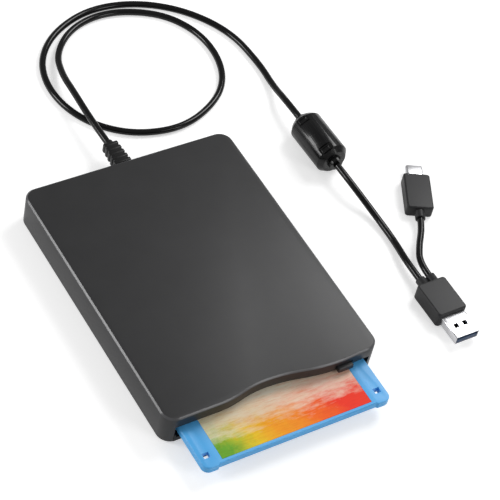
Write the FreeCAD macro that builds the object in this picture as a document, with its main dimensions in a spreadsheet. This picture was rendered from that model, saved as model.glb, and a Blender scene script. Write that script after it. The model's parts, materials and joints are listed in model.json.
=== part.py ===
"""External floppy disk drive with a partly inserted disk and its USB cord.

The drive stands on its feet with the floor at z = 0, the disk slot faces -Y and
+X is to the right. The origin lies under the middle of the drive and its disk.
"""
import FreeCAD, Part
import math
import os

V = FreeCAD.Vector
UP = V(0, 0, 1)
doc = FreeCAD.newDocument("FloppyDrive")
dims = doc.addObject("Spreadsheet::Sheet", "dims")

SIZES = {
    "disk": {
        "disk_width": 90, "disk_length": 94, "disk_thick": 3.3, "disk_out": 22,
        "disk_bottom": 5.65, "disk_corner": 3.2, "disk_skin": 1.0, "film_rim": 2,
        "film_radius": "=disk_width / 2 - film_rim",
        "film_thick": 0.12, "hub_back": 46.5, "hub_radius": 12.5, "hub_gap": 0.5,
        "window_half": 4.5, "window_near": 4, "window_far": 30, "shutter_thick": 0.2,
        "shutter_left": 15, "shutter_right": 15, "shutter_deep": 31, "shutter_travel": 10,
        "lock_width": 3.0, "lock_length": 2.6, "lock_side": 3.75, "lock_front": 6.2,
        "label_inset": 9, "label_half": "=disk_width / 2 - label_inset",
        "label_front": 2.1, "label_length": 52, "label_thick": 0.1,
        "front_notch": 0.7, "notch_inset": 7.2,
        "notch_half": "=disk_width / 2 - notch_inset",
    },
    "housing": {
        "side_room": 6.5, "housing_width": "=disk_width + 2 * side_room",
        "housing_length": 134, "housing_height": 15, "front": -56,
        "corner_radius": 6, "edge_chamfer": 0.8, "side_wall": 1.8, "top_wall": 1.6,
        "slot_room": 1.8, "slot_half": "=disk_width / 2 + slot_room",
        "slot_bottom": 5.0, "slot_top": 10.5, "lip_dip": 1.5,
        "foot_height": 1.0, "foot_radius": 5, "foot_sink": 0.6,
        "foot_inset": 11.5, "foot_across": "=housing_width / 2 - foot_inset",
        "foot_front": 13, "foot_back": 15, "base_thick": 1.2, "cover_gap": 0.1,
        "lip_thick": 1.8, "rim_height": 2,
        "screw_inset": 9.5, "screw_across": "=housing_width / 2 - screw_inset", "screw_back": 7,
        "screw_radius": 1.0, "head_radius": 1.9, "head_thick": 0.9, "boss_radius": 2.8,
    },
    "front edge": {
        "flat_length": 24.5, "wave_start": "=flat_length - housing_width / 2", "wave_low": -3,
        "wave_depth": 3.1, "bulge_inset": 20.5, "wave_high": "=housing_width / 2 - bulge_inset",
        "wave_bulge": 0.6, "wave_rest": 3.5, "wave_end": "=housing_width / 2 - wave_rest",
    },
    "eject parts": {
        "button_inset": 17.9, "button_x": "=housing_width / 2 - button_inset",
        "button_width": 7.6, "button_bottom": 10.45, "button_height": 2.1,
        "button_proud": 2.5, "button_gap": 0.5, "slider_thick": 0.6, "slider_bottom": 11.2,
        "eject_travel": 4, "cradle_drop": 1.6,
    },
    "mechanism": {
        "sheet": 0.6, "pan_room": 2.6, "pan_half": "=disk_width / 2 + pan_room",
        "pan_back": 66.8, "pan_gap": 0.05, "pan_wall": 8.4,
        "cradle_slot_lead": 17.5,
        "cradle_gap": 0.4, "cradle_rail": 1.8, "cradle_head": 0.3, "cradle_back": 38,
        "pin_radius": 0.8, "motor_radius": 20, "motor_hole": 25, "board_thick": 0.4,
        "rotor_top": 3.85, "spindle_pin": 1.9, "run_gap": 0.05, "disk_travel": 21,
        "screw_x": 14, "lead_radius": 1.25, "lead_lift": 7.5, "stepper_radius": 4.6,
        "stepper_length": 8.2, "rod_x": -7, "rod_radius": 1.0, "head_y": 30, "arm_half": 3.2,
        "carriage_front": 55, "carriage_length": 8, "hinge_y": 60, "hinge_lift": 11.3,
        "lever_inset": 15.5, "lever_x": "=lever_inset - housing_width / 2", "lever_y": 44,
        "lever_reach": 22, "lever_drop": 13.4,
        "lever_thick": 1.0,
    },
    "board": {
        "pcb_thick": 1.0, "pcb_lift": 4.0, "pcb_inset": 5.5,
        "pcb_left": "=pcb_inset - housing_width / 2", "pcb_right": 6, "pcb_front": 49,
        "pcb_step_x": -16, "pcb_step_y": 67.2,
        "pcb_room": 3, "pcb_back": "=front + housing_length - pcb_room",
        "socket_inset": 9, "socket_deep": 4.6, "socket_bore": 7,
        "sensor_inset": 6.4, "sensor_front": 5.6, "sensor_lift": 0.65,
    },
    "cord": {
        "cord_radius": 1.6, "exit_x": 1.2, "exit_lift": 8.4, "boot_length": 18.5,
        "boot_width": 9.0, "boot_height": 5.4, "boot_tip": 7.4, "boot_ribs": 5,
        "boot_groove": 1.4, "ferrite_radius": 8, "ferrite_length": 31.5,
        "ferrite_x": 93.2, "ferrite_y": 77.6, "core_radius": 5.6,
    },
    "plugs": {
        "a_x": 97, "a_back": -29.2, "a_width": 15, "a_length": 19, "a_thick": 8,
        "a_shell_width": 12, "a_shell_height": 4.5, "a_shell_length": 12.2,
        "a_shell_wall": 0.3, "a_collar": 4.4, "branch_x": 100.6, "cord_entry_x": 95.4,
        "c_x": 117.9, "c_y": 9.8, "c_turn": -27.3, "c_width": 12.6, "c_length": 21.4,
        "c_thick": 6.5, "c_shell_width": 8.34, "c_shell_height": 2.56,
        "c_shell_length": 6.65, "c_shell_wall": 0.25, "c_collar": 4.0,
    },
}


def fill_sheet():
    """Write every driving size to the sheet, one named cell each."""
    row = 0
    for group, sizes in SIZES.items():
        row += 1
        dims.set("A%d" % row, group)
        for alias, value in sizes.items():
            row += 1
            dims.set("A%d" % row, alias)
            dims.set("B%d" % row, str(value))
            dims.setAlias("B%d" % row, alias)
    doc.recompute()


fill_sheet()


def size(alias):
    """Return a driving size as a number."""
    return float(dims.get(alias))


def bind(item, settings):
    """Bind properties of one object to expressions over the sheet's names."""
    for prop, text in settings.items():
        item.setExpression(prop, sheet_text(text))


def sheet_text(text):
    """Put the sheet's name before each alias in an expression."""
    words = []
    word = ""
    for char in str(text) + " ":
        if char.isalnum() or char == "_" or char == ".":
            word += char
            continue
        words.append("dims." + word if word in ALIASES else word)
        words.append(char)
        word = ""
    return "".join(words).strip()


ALIASES = {alias for group in SIZES.values() for alias in group}


def place(item, spot):
    """Bind an object's place to three expressions."""
    for axis, text in zip("xyz", spot):
        item.setExpression(".Placement.Base." + axis, sheet_text(text))


def box(name, low, spans):
    """Add a block from its low corner and its three spans, all as expressions."""
    item = doc.addObject("Part::Box", name)
    bind(item, dict(zip(("Length", "Width", "Height"), spans)))
    place(item, low)
    return item


TURNS = {"x": (V(0, 1, 0), 90), "y": (V(1, 0, 0), -90), "z": (V(0, 0, 1), 0)}


def rod(name, start, radius, length, axis="z"):
    """Add a cylinder that runs from its start along +X, +Y or +Z."""
    item = doc.addObject("Part::Cylinder", name)
    bind(item, {"Radius": radius, "Height": length})
    item.Placement.Rotation = FreeCAD.Rotation(*TURNS[axis])
    place(item, start)
    return item


def fuse(name, items):
    """Join several objects into one."""
    item = doc.addObject("Part::MultiFuse", name)
    item.Shapes = items
    item.Refine = True
    item.Label = name
    return item


def cut(name, base, tools):
    """Cut one or more tools out of a base."""
    tool = tools[0] if len(tools) == 1 else fuse(name + "_tools", tools)
    item = doc.addObject("Part::Cut", name)
    item.Base = base
    item.Tool = tool
    item.Refine = True
    item.Label = name
    return item


def node(name, item):
    """Name a finished sub-part and keep it for export."""
    item.Label = name
    NODES[name] = item
    return item


NODES = {}


def body(name):
    """Start a PartDesign body for one sub-part."""
    item = doc.addObject("PartDesign::Body", name.title().replace("_", ""))
    return node(name, item)


def plane_of(owner, role):
    """Find one origin plane of a body."""
    for feature in owner.Origin.OriginFeatures:
        if feature.Role == role:
            return feature
    raise ValueError("no plane " + role)


def sketch(owner, name, edges, height, role="XY_Plane"):
    """Draw edges in a plane of the body, lifted along the plane's normal."""
    item = owner.newObject("Sketcher::SketchObject", name)
    item.AttachmentSupport = (plane_of(owner, role), [""])
    item.MapMode = "FlatFace"
    item.setExpression(".AttachmentOffset.Base.z", sheet_text(height))
    item.addGeometry(edges, False)
    return item


def pad(owner, profile, length):
    """Raise a profile along the sketch normal."""
    item = owner.newObject("PartDesign::Pad", profile.Name + "Pad")
    item.Profile = profile
    bind(item, {"Length": length})
    doc.recompute()
    return item


def pocket(owner, profile, length, upward=True):
    """Cut a profile into the body and check that the cut took something away."""
    before = owner.Shape.Volume
    item = owner.newObject("PartDesign::Pocket", profile.Name + "Pocket")
    item.Profile = profile
    item.Reversed = upward
    bind(item, {"Length": length})
    doc.recompute()
    if owner.Shape.Volume >= before - 1e-6:
        raise ValueError(profile.Name + " cuts nothing")
    return item


def revolve(owner, profile, axis="H_Axis"):
    """Turn a profile a full turn about an axis of its sketch."""
    item = owner.newObject("PartDesign::Revolution", profile.Name + "Turn")
    item.Profile = profile
    item.ReferenceAxis = (profile, [axis])
    item.Angle = 360
    doc.recompute()
    return item


def bevel(owner, feature, height, amount, kind="PartDesign::Chamfer"):
    """Break all edges of the flat face that a feature has at a height."""
    faces = feature.Shape.Faces
    found = [i for i, face in enumerate(faces) if is_level(face, height)]
    item = owner.newObject(kind, feature.Name + "Edge%d" % round(10 * height))
    item.Base = (feature, ["Face%d" % (found[0] + 1)])
    bind(item, {"Radius" if kind.endswith("Fillet") else "Size": amount})
    doc.recompute()
    return item


def is_level(face, height):
    """Tell whether a face is flat, level and at a height."""
    box_ = face.BoundBox
    return abs(box_.ZMin - height) < 1e-4 and abs(box_.ZMax - height) < 1e-4


def loop(points):
    """Join points with straight edges into a closed outline."""
    pairs = zip(points, points[1:] + points[:1])
    return [Part.LineSegment(V(*a, 0), V(*b, 0)) for a, b in pairs]


def rect(x0, x1, y0, y1):
    """Draw a rectangle between two corners."""
    return loop([(x0, y0), (x1, y0), (x1, y1), (x0, y1)])


def rounded(x0, x1, y0, y1, radius):
    """Draw a rectangle with round corners."""
    corners = [(x1 - radius, y1 - radius, 0), (x0 + radius, y1 - radius, 90),
               (x0 + radius, y0 + radius, 180), (x1 - radius, y0 + radius, 270)]
    edges = []
    for x, y, turn in corners:
        edges.append(arc(x, y, radius, turn, turn + 90))
    return chain(edges)


def arc(x, y, radius, start, end):
    """Draw a counterclockwise arc from its centre and two angles in degrees."""
    circle = Part.Circle(V(x, y, 0), UP, radius)
    return Part.ArcOfCircle(circle, math.radians(start), math.radians(end))


def chain(arcs):
    """Join a ring of arcs with straight edges."""
    edges = []
    for now, after in zip(arcs, arcs[1:] + arcs[:1]):
        edges.append(now)
        if (now.EndPoint - after.StartPoint).Length > 1e-6:
            edges.append(Part.LineSegment(now.EndPoint, after.StartPoint))
    return edges


# Places that several pieces share
FOOT = size("foot_height")
TOP = FOOT + size("housing_height")
FRONT = size("front")
BACK = FRONT + size("housing_length")
HALF = size("housing_width") / 2
DISK_FRONT = FRONT - size("disk_out")
DISK_LEAD = DISK_FRONT + size("disk_length")
SPINDLE_Y = DISK_LEAD - size("hub_back") + size("disk_travel")


def s_bend(x0, y0, x1, y1):
    """Draw two equal arcs that join two level stretches of the front edge."""
    run = x1 - x0
    rise = y1 - y0
    radius = (run * run + rise * rise) / (4 * abs(rise))
    sign = 1 if rise > 0 else -1
    middle = V((x0 + x1) / 2, (y0 + y1) / 2, 0)
    turn = math.asin(run / 2 / radius) / 2
    reach = radius * math.sin(turn)
    dip = radius * (1 - math.cos(turn))
    first = Part.Arc(V(x0, y0, 0), V(x0 + reach, y0 + sign * dip, 0), middle)
    second = Part.Arc(middle, V(x1 - reach, y1 - sign * dip, 0), V(x1, y1, 0))
    return [first, second]


def wavy_outline(inset, front_inset):
    """Draw the cover's plan: a rounded rectangle whose front edge is a shallow wave."""
    half = HALF - inset
    radius = size("corner_radius") - inset
    level = FRONT + front_inset
    low = level + size("wave_depth")
    high = level - size("wave_bulge")
    last = min(size("wave_end"), half - radius)
    bends = s_bend(size("wave_start"), level, size("wave_low"), low)
    bends += s_bend(size("wave_low"), low, size("wave_high"), high)
    bends += s_bend(size("wave_high"), high, last, level)
    corners = [arc(half - radius, level + radius, radius, 270, 360),
               arc(half - radius, BACK - inset - radius, radius, 0, 90),
               arc(radius - half, BACK - inset - radius, radius, 90, 180),
               arc(radius - half, level + radius, radius, 180, 270)]
    return chain(bends + corners)


def make_top_cover():
    """Upper shell: roof and side walls, wavy front edge, disk slot and button notch."""
    cover = body("top_cover")
    wall = size("side_wall")
    outer = sketch(cover, "CoverPlan", wavy_outline(0, 0), "foot_height")
    shell = pad(cover, outer, "housing_height")
    bevel(cover, shell, TOP, "edge_chamfer")
    inner = sketch(cover, "CoverInside", wavy_outline(wall, wall), "foot_height")
    pocket(cover, inner, "housing_height - top_wall")
    reach = size("wave_depth") + 2 * wall
    slot = size("slot_half")
    mouth = sketch(cover, "DiskSlot", rect(-slot, slot, FRONT - wall, FRONT + reach), "foot_height")
    pocket(cover, mouth, "slot_top - foot_height")
    side = size("button_width") / 2 + size("button_gap")
    mid = size("button_x")
    notch_plan = rect(mid - side, mid + side, FRONT - reach, FRONT + reach)
    notch = sketch(cover, "ButtonNotch", notch_plan, "slot_top")
    pocket(cover, notch, "button_bottom + button_height + button_gap - slot_top")
    half_boot = size("boot_width") / 2
    hole_plan = rect(size("exit_x") - half_boot, size("exit_x") + half_boot, BACK - 2 * wall, BACK + wall)
    hole = sketch(cover, "BootHole", hole_plan, "exit_lift - boot_height / 2")
    pocket(cover, hole, "boot_height")
    make_bosses(cover)


def make_bosses(cover):
    """Two screw posts that hang from the roof near the rear corners."""
    back = BACK - size("screw_back")
    radius = size("boss_radius")
    level = "foot_height + base_thick + head_thick + cover_gap"
    posts = []
    for x in (-size("screw_across"), size("screw_across")):
        posts.append(Part.Circle(V(x, back, 0), UP, radius))
    plan = sketch(cover, "ScrewPosts", posts, level)
    pad(cover, plan, "housing_height - top_wall - base_thick - head_thick - cover_gap")
    holes = []
    for x in (-size("screw_across"), size("screw_across")):
        holes.append(Part.Circle(V(x, back, 0), UP, size("screw_radius")))
    bore = sketch(cover, "ScrewBores", holes, level)
    pocket(cover, bore, "6")


def make_bottom_cover():
    """Lower plate inside the walls, with the front lip, a rim, foot pads and screw seats."""
    plate = body("bottom_cover")
    inset = size("side_wall") + size("cover_gap")
    half = HALF - inset
    radius = size("corner_radius") - inset
    outline = rounded(-half, half, FRONT + inset, BACK - inset, radius)
    plan = sketch(plate, "PlatePlan", outline, "foot_height")
    pad(plate, plan, "base_thick")
    slot = size("slot_half") - size("cover_gap")
    lip = sketch(plate, "LipPlan", rect(-slot, slot, FRONT, FRONT + size("lip_thick") + 0.4), "foot_height")
    pad(plate, lip, "slot_bottom - foot_height")
    rim = rounded(-half, half, FRONT + inset, BACK - inset, radius)
    rim += rounded(1 - half, half - 1, FRONT + inset + 1, BACK - inset - 1, radius - 1)
    wall = sketch(plate, "RimPlan", rim, "foot_height + base_thick")
    pad(plate, wall, "rim_height")
    dip = size("disk_width") / 2 + 0.8
    low = sketch(plate, "LipDip", rect(-dip, dip, FRONT - 1, FRONT + 4), "slot_bottom - lip_dip")
    pocket(plate, low, "lip_dip + 1")
    wide = size("boot_width") / 2 + 1
    gate_plan = rect(size("exit_x") - wide, size("exit_x") + wide, BACK - inset - 2, BACK)
    gate = sketch(plate, "CordGate", gate_plan, "foot_height + base_thick")
    pocket(plate, gate, "rim_height")
    seats = circles_at(foot_spots(), size("foot_radius") + 0.1)
    hollow = sketch(plate, "FootSeats", seats, "foot_height")
    pocket(plate, hollow, "foot_sink")
    screws = screw_spots()
    posts = sketch(plate, "SeatPosts", circles_at(screws, size("boss_radius")), "foot_height")
    pad(plate, posts, "base_thick + head_thick")
    heads = sketch(plate, "HeadSinks", circles_at(screws, size("head_radius") + 0.2), "foot_height")
    pocket(plate, heads, "base_thick")
    bores = sketch(plate, "PlateBores", circles_at(screws, size("screw_radius") + 0.15), "foot_height")
    pocket(plate, bores, "base_thick + 4")


def circles_at(spots, radius):
    """Draw one circle at each spot."""
    return [Part.Circle(V(x, y, 0), UP, radius) for x, y in spots]


def foot_spots():
    """The four feet stand near the corners."""
    across = size("foot_across")
    ends = (FRONT + size("foot_front"), BACK - size("foot_back"))
    return [(x, y) for x in (-across, across) for y in ends]


def screw_spots():
    """The two cover screws sit near the rear corners."""
    across = size("screw_across")
    return [(x, BACK - size("screw_back")) for x in (-across, across)]


def make_feet():
    """Four round rubber feet, domed a little at the rim, sunk in their seats."""
    feet = []
    radius = size("foot_radius")
    height = FOOT + size("foot_sink")
    for number, (x, y) in enumerate(foot_spots()):
        feet.append(rod("Foot%d" % number, (x, y, 0), radius, height))
    node("rubber_feet", fuse("rubber_feet", feet))


def make_screws():
    """Two cover screws driven up from below, with cross recesses."""
    parts = []
    for number, (x, y) in enumerate(screw_spots()):
        start = FOOT + size("base_thick") - size("head_thick") - 0.1
        head = rod("Head%d" % number, (x, y, start), "head_radius", "head_thick")
        shank = rod("Shank%d" % number, (x, y, start), "screw_radius - 0.02", 6)
        whole = fuse("Screw%d" % number, [head, shank])
        one = box("CrossA%d" % number, (x - 1, y - 0.2, start), (2, 0.4, 0.4))
        two = box("CrossB%d" % number, (x - 0.2, y - 1, start), (0.4, 2, 0.4))
        parts.append(cut("CutScrew%d" % number, whole, [one, two]))
    node("case_screws", fuse("case_screws", parts))


def make_disk():
    """The 3.5 inch disk: two shells, film, hub, shutter, lock tab and label."""
    make_lower_shell()
    make_upper_shell()
    make_media()
    make_shutter()
    make_lock_tab()
    make_label()


def disk_plan():
    """Plan of the disk case: round corners and one clipped corner at the leading edge."""
    half = size("disk_width") / 2
    round_ = size("disk_corner")
    notch = size("notch_half")
    step = size("front_notch")
    clip = 4.5
    small = 1.0
    arcs = [arc(half - round_, DISK_FRONT + round_, round_, 270, 360),
            arc(half - small, DISK_LEAD - small, small, 0, 90)]
    left = [arc(round_ - half, DISK_FRONT + round_, round_, 180, 270)]
    top = arcs[1].EndPoint
    base = left[0].StartPoint
    corner = [V(-half + clip, DISK_LEAD, 0), V(-half, DISK_LEAD - clip, 0)]
    edges = [arcs[0], Part.LineSegment(arcs[0].EndPoint, arcs[1].StartPoint), arcs[1],
             Part.LineSegment(top, corner[0]), Part.LineSegment(*corner),
             Part.LineSegment(corner[1], base), left[0]]
    bottom = [V(-notch - step, DISK_FRONT, 0), V(-notch, DISK_FRONT + step, 0),
              V(notch, DISK_FRONT + step, 0), V(notch + step, DISK_FRONT, 0)]
    bottom = [left[0].EndPoint] + bottom + [arcs[0].StartPoint]
    for start, end in zip(bottom, bottom[1:]):
        edges.append(Part.LineSegment(start, end))
    return edges


def window_plan(grow=0.0):
    """Plan of the slot through which the heads reach the film."""
    half = size("window_half") + grow
    return rect(-half, half, DISK_LEAD - size("window_far"), DISK_LEAD - size("window_near"))


def shutter_recess():
    """Plan of the shallow recess in which the shutter slides."""
    left = size("shutter_left") + size("shutter_travel") + 0.1
    return rect(-left, size("shutter_right") + 0.1, DISK_LEAD - size("shutter_deep") - 0.2, DISK_LEAD + 1)


def lock_holes():
    """Plans of the two square holes near the label end."""
    edges = []
    for side in (-1, 1):
        x = side * (size("disk_width") / 2 - size("lock_side"))
        wide = size("lock_width") / 2
        y = DISK_FRONT + size("lock_front")
        edges += rect(x - wide, x + wide, y - size("lock_length") / 2, y + size("lock_length") / 2)
    return edges


def hub_spot():
    """The hub's centre on the partly inserted disk."""
    return V(0, DISK_LEAD - size("hub_back"), 0)


def make_lower_shell():
    """Lower half of the disk case, with the hub opening and the lock tab's groove."""
    shell = body("disk_lower_shell")
    plan = sketch(shell, "LowerPlan", disk_plan(), "disk_bottom")
    pad(shell, plan, "disk_thick / 2")
    cavity = sketch(shell, "LowerCavity", [Part.Circle(hub_spot(), UP, size("film_radius") + 0.4)],
                    "disk_bottom + disk_skin")
    pocket(shell, cavity, "disk_thick")
    opening = sketch(shell, "HubOpening", [Part.Circle(hub_spot(), UP, size("hub_radius") + size("hub_gap"))],
                     "disk_bottom - 1")
    pocket(shell, opening, "disk_thick")
    pocket(shell, sketch(shell, "LowerWindow", window_plan(), "disk_bottom - 1"), "disk_thick")
    pocket(shell, sketch(shell, "LowerHoles", lock_holes(), "disk_bottom - 1"), "disk_thick")
    recess = sketch(shell, "LowerRecess", shutter_recess(), "disk_bottom - 1")
    pocket(shell, recess, "1 + shutter_thick + 0.05")
    edge_plan = edge_recess()
    pocket(shell, sketch(shell, "LowerEdge", edge_plan, "disk_bottom - 1"), "disk_thick")
    x = -size("disk_width") / 2 + size("lock_side")
    wide = size("lock_width") / 2 + 0.4
    low = DISK_FRONT + size("lock_front") - size("lock_length") / 2 - 0.4
    groove = rect(x - wide, x + wide, low, low + 2 * size("lock_length") + 2.8)
    pocket(shell, sketch(shell, "TabGroove", groove, "disk_bottom - 1"), "1 + disk_skin + 0.1")


def edge_recess():
    """Plan of the relief for the shutter's bridge at the leading edge."""
    left = size("shutter_left") + size("shutter_travel") + 0.1
    depth = size("shutter_thick") + 0.05
    return rect(-left, size("shutter_right") + 0.1, DISK_LEAD - depth, DISK_LEAD + 1)


def make_upper_shell():
    """Upper half of the disk case, with the recesses for label and shutter."""
    shell = body("disk_upper_shell")
    plan = sketch(shell, "UpperPlan", disk_plan(), "disk_bottom + disk_thick / 2")
    half = pad(shell, plan, "disk_thick / 2")
    bevel(shell, half, size("disk_bottom") + size("disk_thick"), 0.25)
    cavity = sketch(shell, "UpperCavity", [Part.Circle(hub_spot(), UP, size("film_radius") + 0.4)],
                    "disk_bottom + disk_thick / 2")
    pocket(shell, cavity, "disk_thick / 2 - disk_skin")
    pocket(shell, sketch(shell, "UpperWindow", window_plan(), "disk_bottom"), "disk_thick + 1")
    pocket(shell, sketch(shell, "UpperHoles", lock_holes(), "disk_bottom"), "disk_thick + 1")
    level = "disk_bottom + disk_thick - shutter_thick - 0.05"
    pocket(shell, sketch(shell, "UpperRecess", shutter_recess(), level), "1")
    pocket(shell, sketch(shell, "UpperEdge", edge_recess(), "disk_bottom"), "disk_thick + 1")
    level = "disk_bottom + disk_thick - label_thick - 0.02"
    pocket(shell, sketch(shell, "LabelRecess", label_plan(0.1), level), "1")


def label_plan(grow):
    """Plan of the stick-on label."""
    half = size("label_half") + grow
    low = DISK_FRONT + size("label_front")
    return rect(-half, half, low - grow, low + size("label_length") + grow)


def make_media():
    """Magnetic film and the pressed steel hub that carries it."""
    hub = body("disk_hub")
    spot = hub_spot()
    rise = "(disk_thick - film_thick) / 2"
    disc = sketch(hub, "HubDisc", [Part.Circle(spot, UP, size("hub_radius"))], "disk_bottom + 0.15")
    pad(hub, disc, "0.5")
    boss = sketch(hub, "HubBoss", [Part.Circle(spot, UP, size("hub_radius") - 2)], "disk_bottom + 0.65")
    pad(hub, boss, rise + " - 0.65")
    centre = size("spindle_pin") + 0.1
    square = rect(-centre, centre, spot.y - centre, spot.y + centre)
    slot = rect(-1.6, 3.4, spot.y + 8.4, spot.y + 11.4)
    pocket(hub, sketch(hub, "HubHoles", square + slot, "disk_bottom - 1"), "disk_thick")
    film = body("magnetic_film")
    rings = [Part.Circle(spot, UP, size("film_radius")), Part.Circle(spot, UP, 5)]
    pad(film, sketch(film, "FilmPlan", rings, "disk_bottom + " + rise), "film_thick")


def make_shutter():
    """Folded sheet-metal shutter round the leading edge, slid open to its window."""
    left = -size("shutter_left")
    wide = "shutter_left + shutter_right"
    back = "%s - shutter_deep" % DISK_LEAD
    outer = box("ShutterBlock", (left, back, "disk_bottom + 0.03"),
                (wide, "shutter_deep - 0.02", "disk_thick - 0.06"))
    inner = box("ShutterInside", (left - 1, "%s - 1" % back, "disk_bottom + 0.03 + shutter_thick"),
                (wide + " + 2", "shutter_deep + 1 - shutter_thick - 0.02",
                 "disk_thick - 0.06 - 2 * shutter_thick"))
    slot = box("ShutterWindow",
               ("0 - window_half - 0.2", "%s - window_far + 0.5" % DISK_LEAD, "disk_bottom - 1"),
               ("2 * window_half + 0.4", "window_far - window_near - 0.5", "disk_thick + 2"))
    node("disk_shutter", cut("disk_shutter", outer, [inner, slot]))


def make_lock_tab():
    """Sliding write-protect tab in its groove under the left square hole."""
    x = -size("disk_width") / 2 + size("lock_side") - size("lock_width") / 2 - 0.2
    y = DISK_FRONT + size("lock_front") + size("lock_length") / 2 + 0.2
    tab = box("TabBlock", (x, y, "disk_bottom + 0.05"),
              ("lock_width + 0.4", "lock_length + 1.2", "disk_skin"))
    grip = box("TabGrip", (x + 0.8, y + 1.2, "disk_bottom - 0.5"), ("lock_width - 1.2", 0.8, 0.9))
    node("write_protect_tab", cut("write_protect_tab", tab, [grip]))


def make_label():
    """Paper label in its recess."""
    label = body("disk_label")
    plan = sketch(label, "LabelPlan", label_plan(0), "disk_bottom + disk_thick - label_thick - 0.01")
    pad(label, plan, "label_thick")


# Mechanism places
CAM_SPOTS = (-35, 22)
CAM_LIFT = 7.6
SLIDER_FRONT = -46.5
SLIDER_BACK = 34


def make_eject_parts():
    """Button, cam slider and return spring."""
    button = body("eject_button")
    half = size("button_width") / 2
    front = FRONT - size("button_proud")
    plan = rounded(size("button_x") - half, size("button_x") + half, front, SLIDER_FRONT, 0.6)
    solid = pad(button, sketch(button, "ButtonPlan", plan, "button_bottom"), "button_height")
    bevel(button, solid, size("button_bottom") + size("button_height"), 0.3)
    make_slider()
    make_spring()


def make_slider():
    """Sheet plate over the cradle with two legs whose slanted slots lift the cradle pins."""
    half = size("pan_half") - size("sheet") - 0.2
    leg = 0.4
    plate = box("SliderPlate", (-half, SLIDER_FRONT, "slider_bottom"), (2 * half, 8.5, "slider_thick"))
    parts = [plate]
    slots = []
    for side in (-1, 1):
        low = side * half if side < 0 else half - 8.5
        parts.append(box("SliderArm%d" % side, (low, SLIDER_FRONT, "slider_bottom"),
                         (8.5, SLIDER_BACK - SLIDER_FRONT, "slider_thick")))
        low = -half if side < 0 else half - leg
        parts.append(box("SliderLeg%d" % side, (low, SLIDER_FRONT, 4.8),
                         (leg, SLIDER_BACK - SLIDER_FRONT, "slider_bottom - 4.8")))
        for y in CAM_SPOTS:
            slots.append(cam_slot("Cam%d_%d" % (side, y), low - 1, leg + 2, y))
    tab = box("SpringTab", (half - 12, SLIDER_BACK - 20, "slider_bottom + slider_thick"), (6, 0.6, 1.6))
    whole = fuse("slider_whole", parts + [tab])
    node("eject_slider", cut("eject_slider", whole, slots))


def cam_slot(name, x, length, y):
    """A slanted slot: the pin rides down it as the slider moves forward."""
    slope = size("cradle_drop") / size("eject_travel")
    reach = size("pin_radius") + 0.15
    rear = size("eject_travel") + reach
    ahead = 0.5 + reach
    tall = reach * math.hypot(1, slope)
    points = [(y - ahead, CAM_LIFT + slope * ahead - tall), (y + rear, CAM_LIFT - slope * rear - tall),
              (y + rear, CAM_LIFT - slope * rear + tall), (y - ahead, CAM_LIFT + slope * ahead + tall)]
    wire = Part.makePolygon([V(x, *point) for point in points + points[:1]])
    item = doc.addObject("Part::Feature", name)
    item.Shape = Part.Face(wire).extrude(V(length, 0, 0))
    return item


def make_spring():
    """Extension spring that draws the slider forward, hooked to the pan and the tab."""
    x = size("pan_half") - size("sheet") - 0.2 - 9
    y = SLIDER_BACK - 20.3
    lift = size("slider_bottom") + size("slider_thick") + 1.0
    helix = Part.makeHelix(0.9, 14, 0.9)
    profile = Part.Wire(Part.Circle(V(0.9, 0, 0), V(0, 1, 0), 0.2).toShape())
    coil = Part.Wire(helix.Edges).makePipeShell([profile], True, False)
    item = doc.addObject("Part::Feature", "eject_spring")
    item.Shape = coil
    item.Placement = FreeCAD.Placement(V(x, y, lift), FreeCAD.Rotation(V(1, 0, 0), 90))
    node("eject_spring", item)


def make_cradle():
    """Sheet-metal holder that carries the disk down onto the spindle."""
    sheet = size("sheet")
    half = size("disk_width") / 2 + size("cradle_gap")
    front = FRONT + 6
    deep = size("cradle_back") - front
    roof = box("CradleRoof", (-half - sheet, front, "disk_bottom + disk_thick + cradle_head"),
               (2 * (half + sheet), deep, "sheet"))
    parts = [roof]
    for side in (-1, 1):
        low = -half - sheet if side < 0 else half
        parts.append(box("CradleSide%d" % side, (low, front, "disk_bottom - 0.1 - sheet"),
                         ("sheet", deep, "disk_thick + cradle_head + 0.1 + 2 * sheet")))
        low = -half - sheet if side < 0 else half - size("cradle_rail")
        parts.append(box("CradleRail%d" % side, (low, front, "disk_bottom - 0.1 - sheet"),
                         ("cradle_rail + sheet", deep, "sheet")))
        low = -half if side < 0 else half - 5
        parts.append(box("CradleStop%d" % side,
                         (low, size("cradle_back") - sheet, "disk_bottom - 0.1 - sheet"),
                         (5, "sheet", "disk_thick + cradle_head + 0.1 + 2 * sheet")))
        for y in CAM_SPOTS:
            low = -half - sheet - 1.4 if side < 0 else half + sheet - 0.2
            parts.append(rod("CradlePin%d_%d" % (side, y), (low, y, CAM_LIFT), "pin_radius", 1.6, "x"))
    whole = fuse("cradle_whole", parts)
    slot = box("CradleSlot", (-5, "%s + cradle_slot_lead" % SPINDLE_Y, 5), (10, 40, 10))
    eye = rod("CradleEye", (0, SPINDLE_Y, "disk_bottom + disk_thick"), 16, 5)
    nose = box("CradleNose", (-30, front - 1, "disk_bottom + disk_thick"), (60, 5, 5))
    node("disk_cradle", cut("disk_cradle", whole, [slot, eye, nose]))


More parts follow.
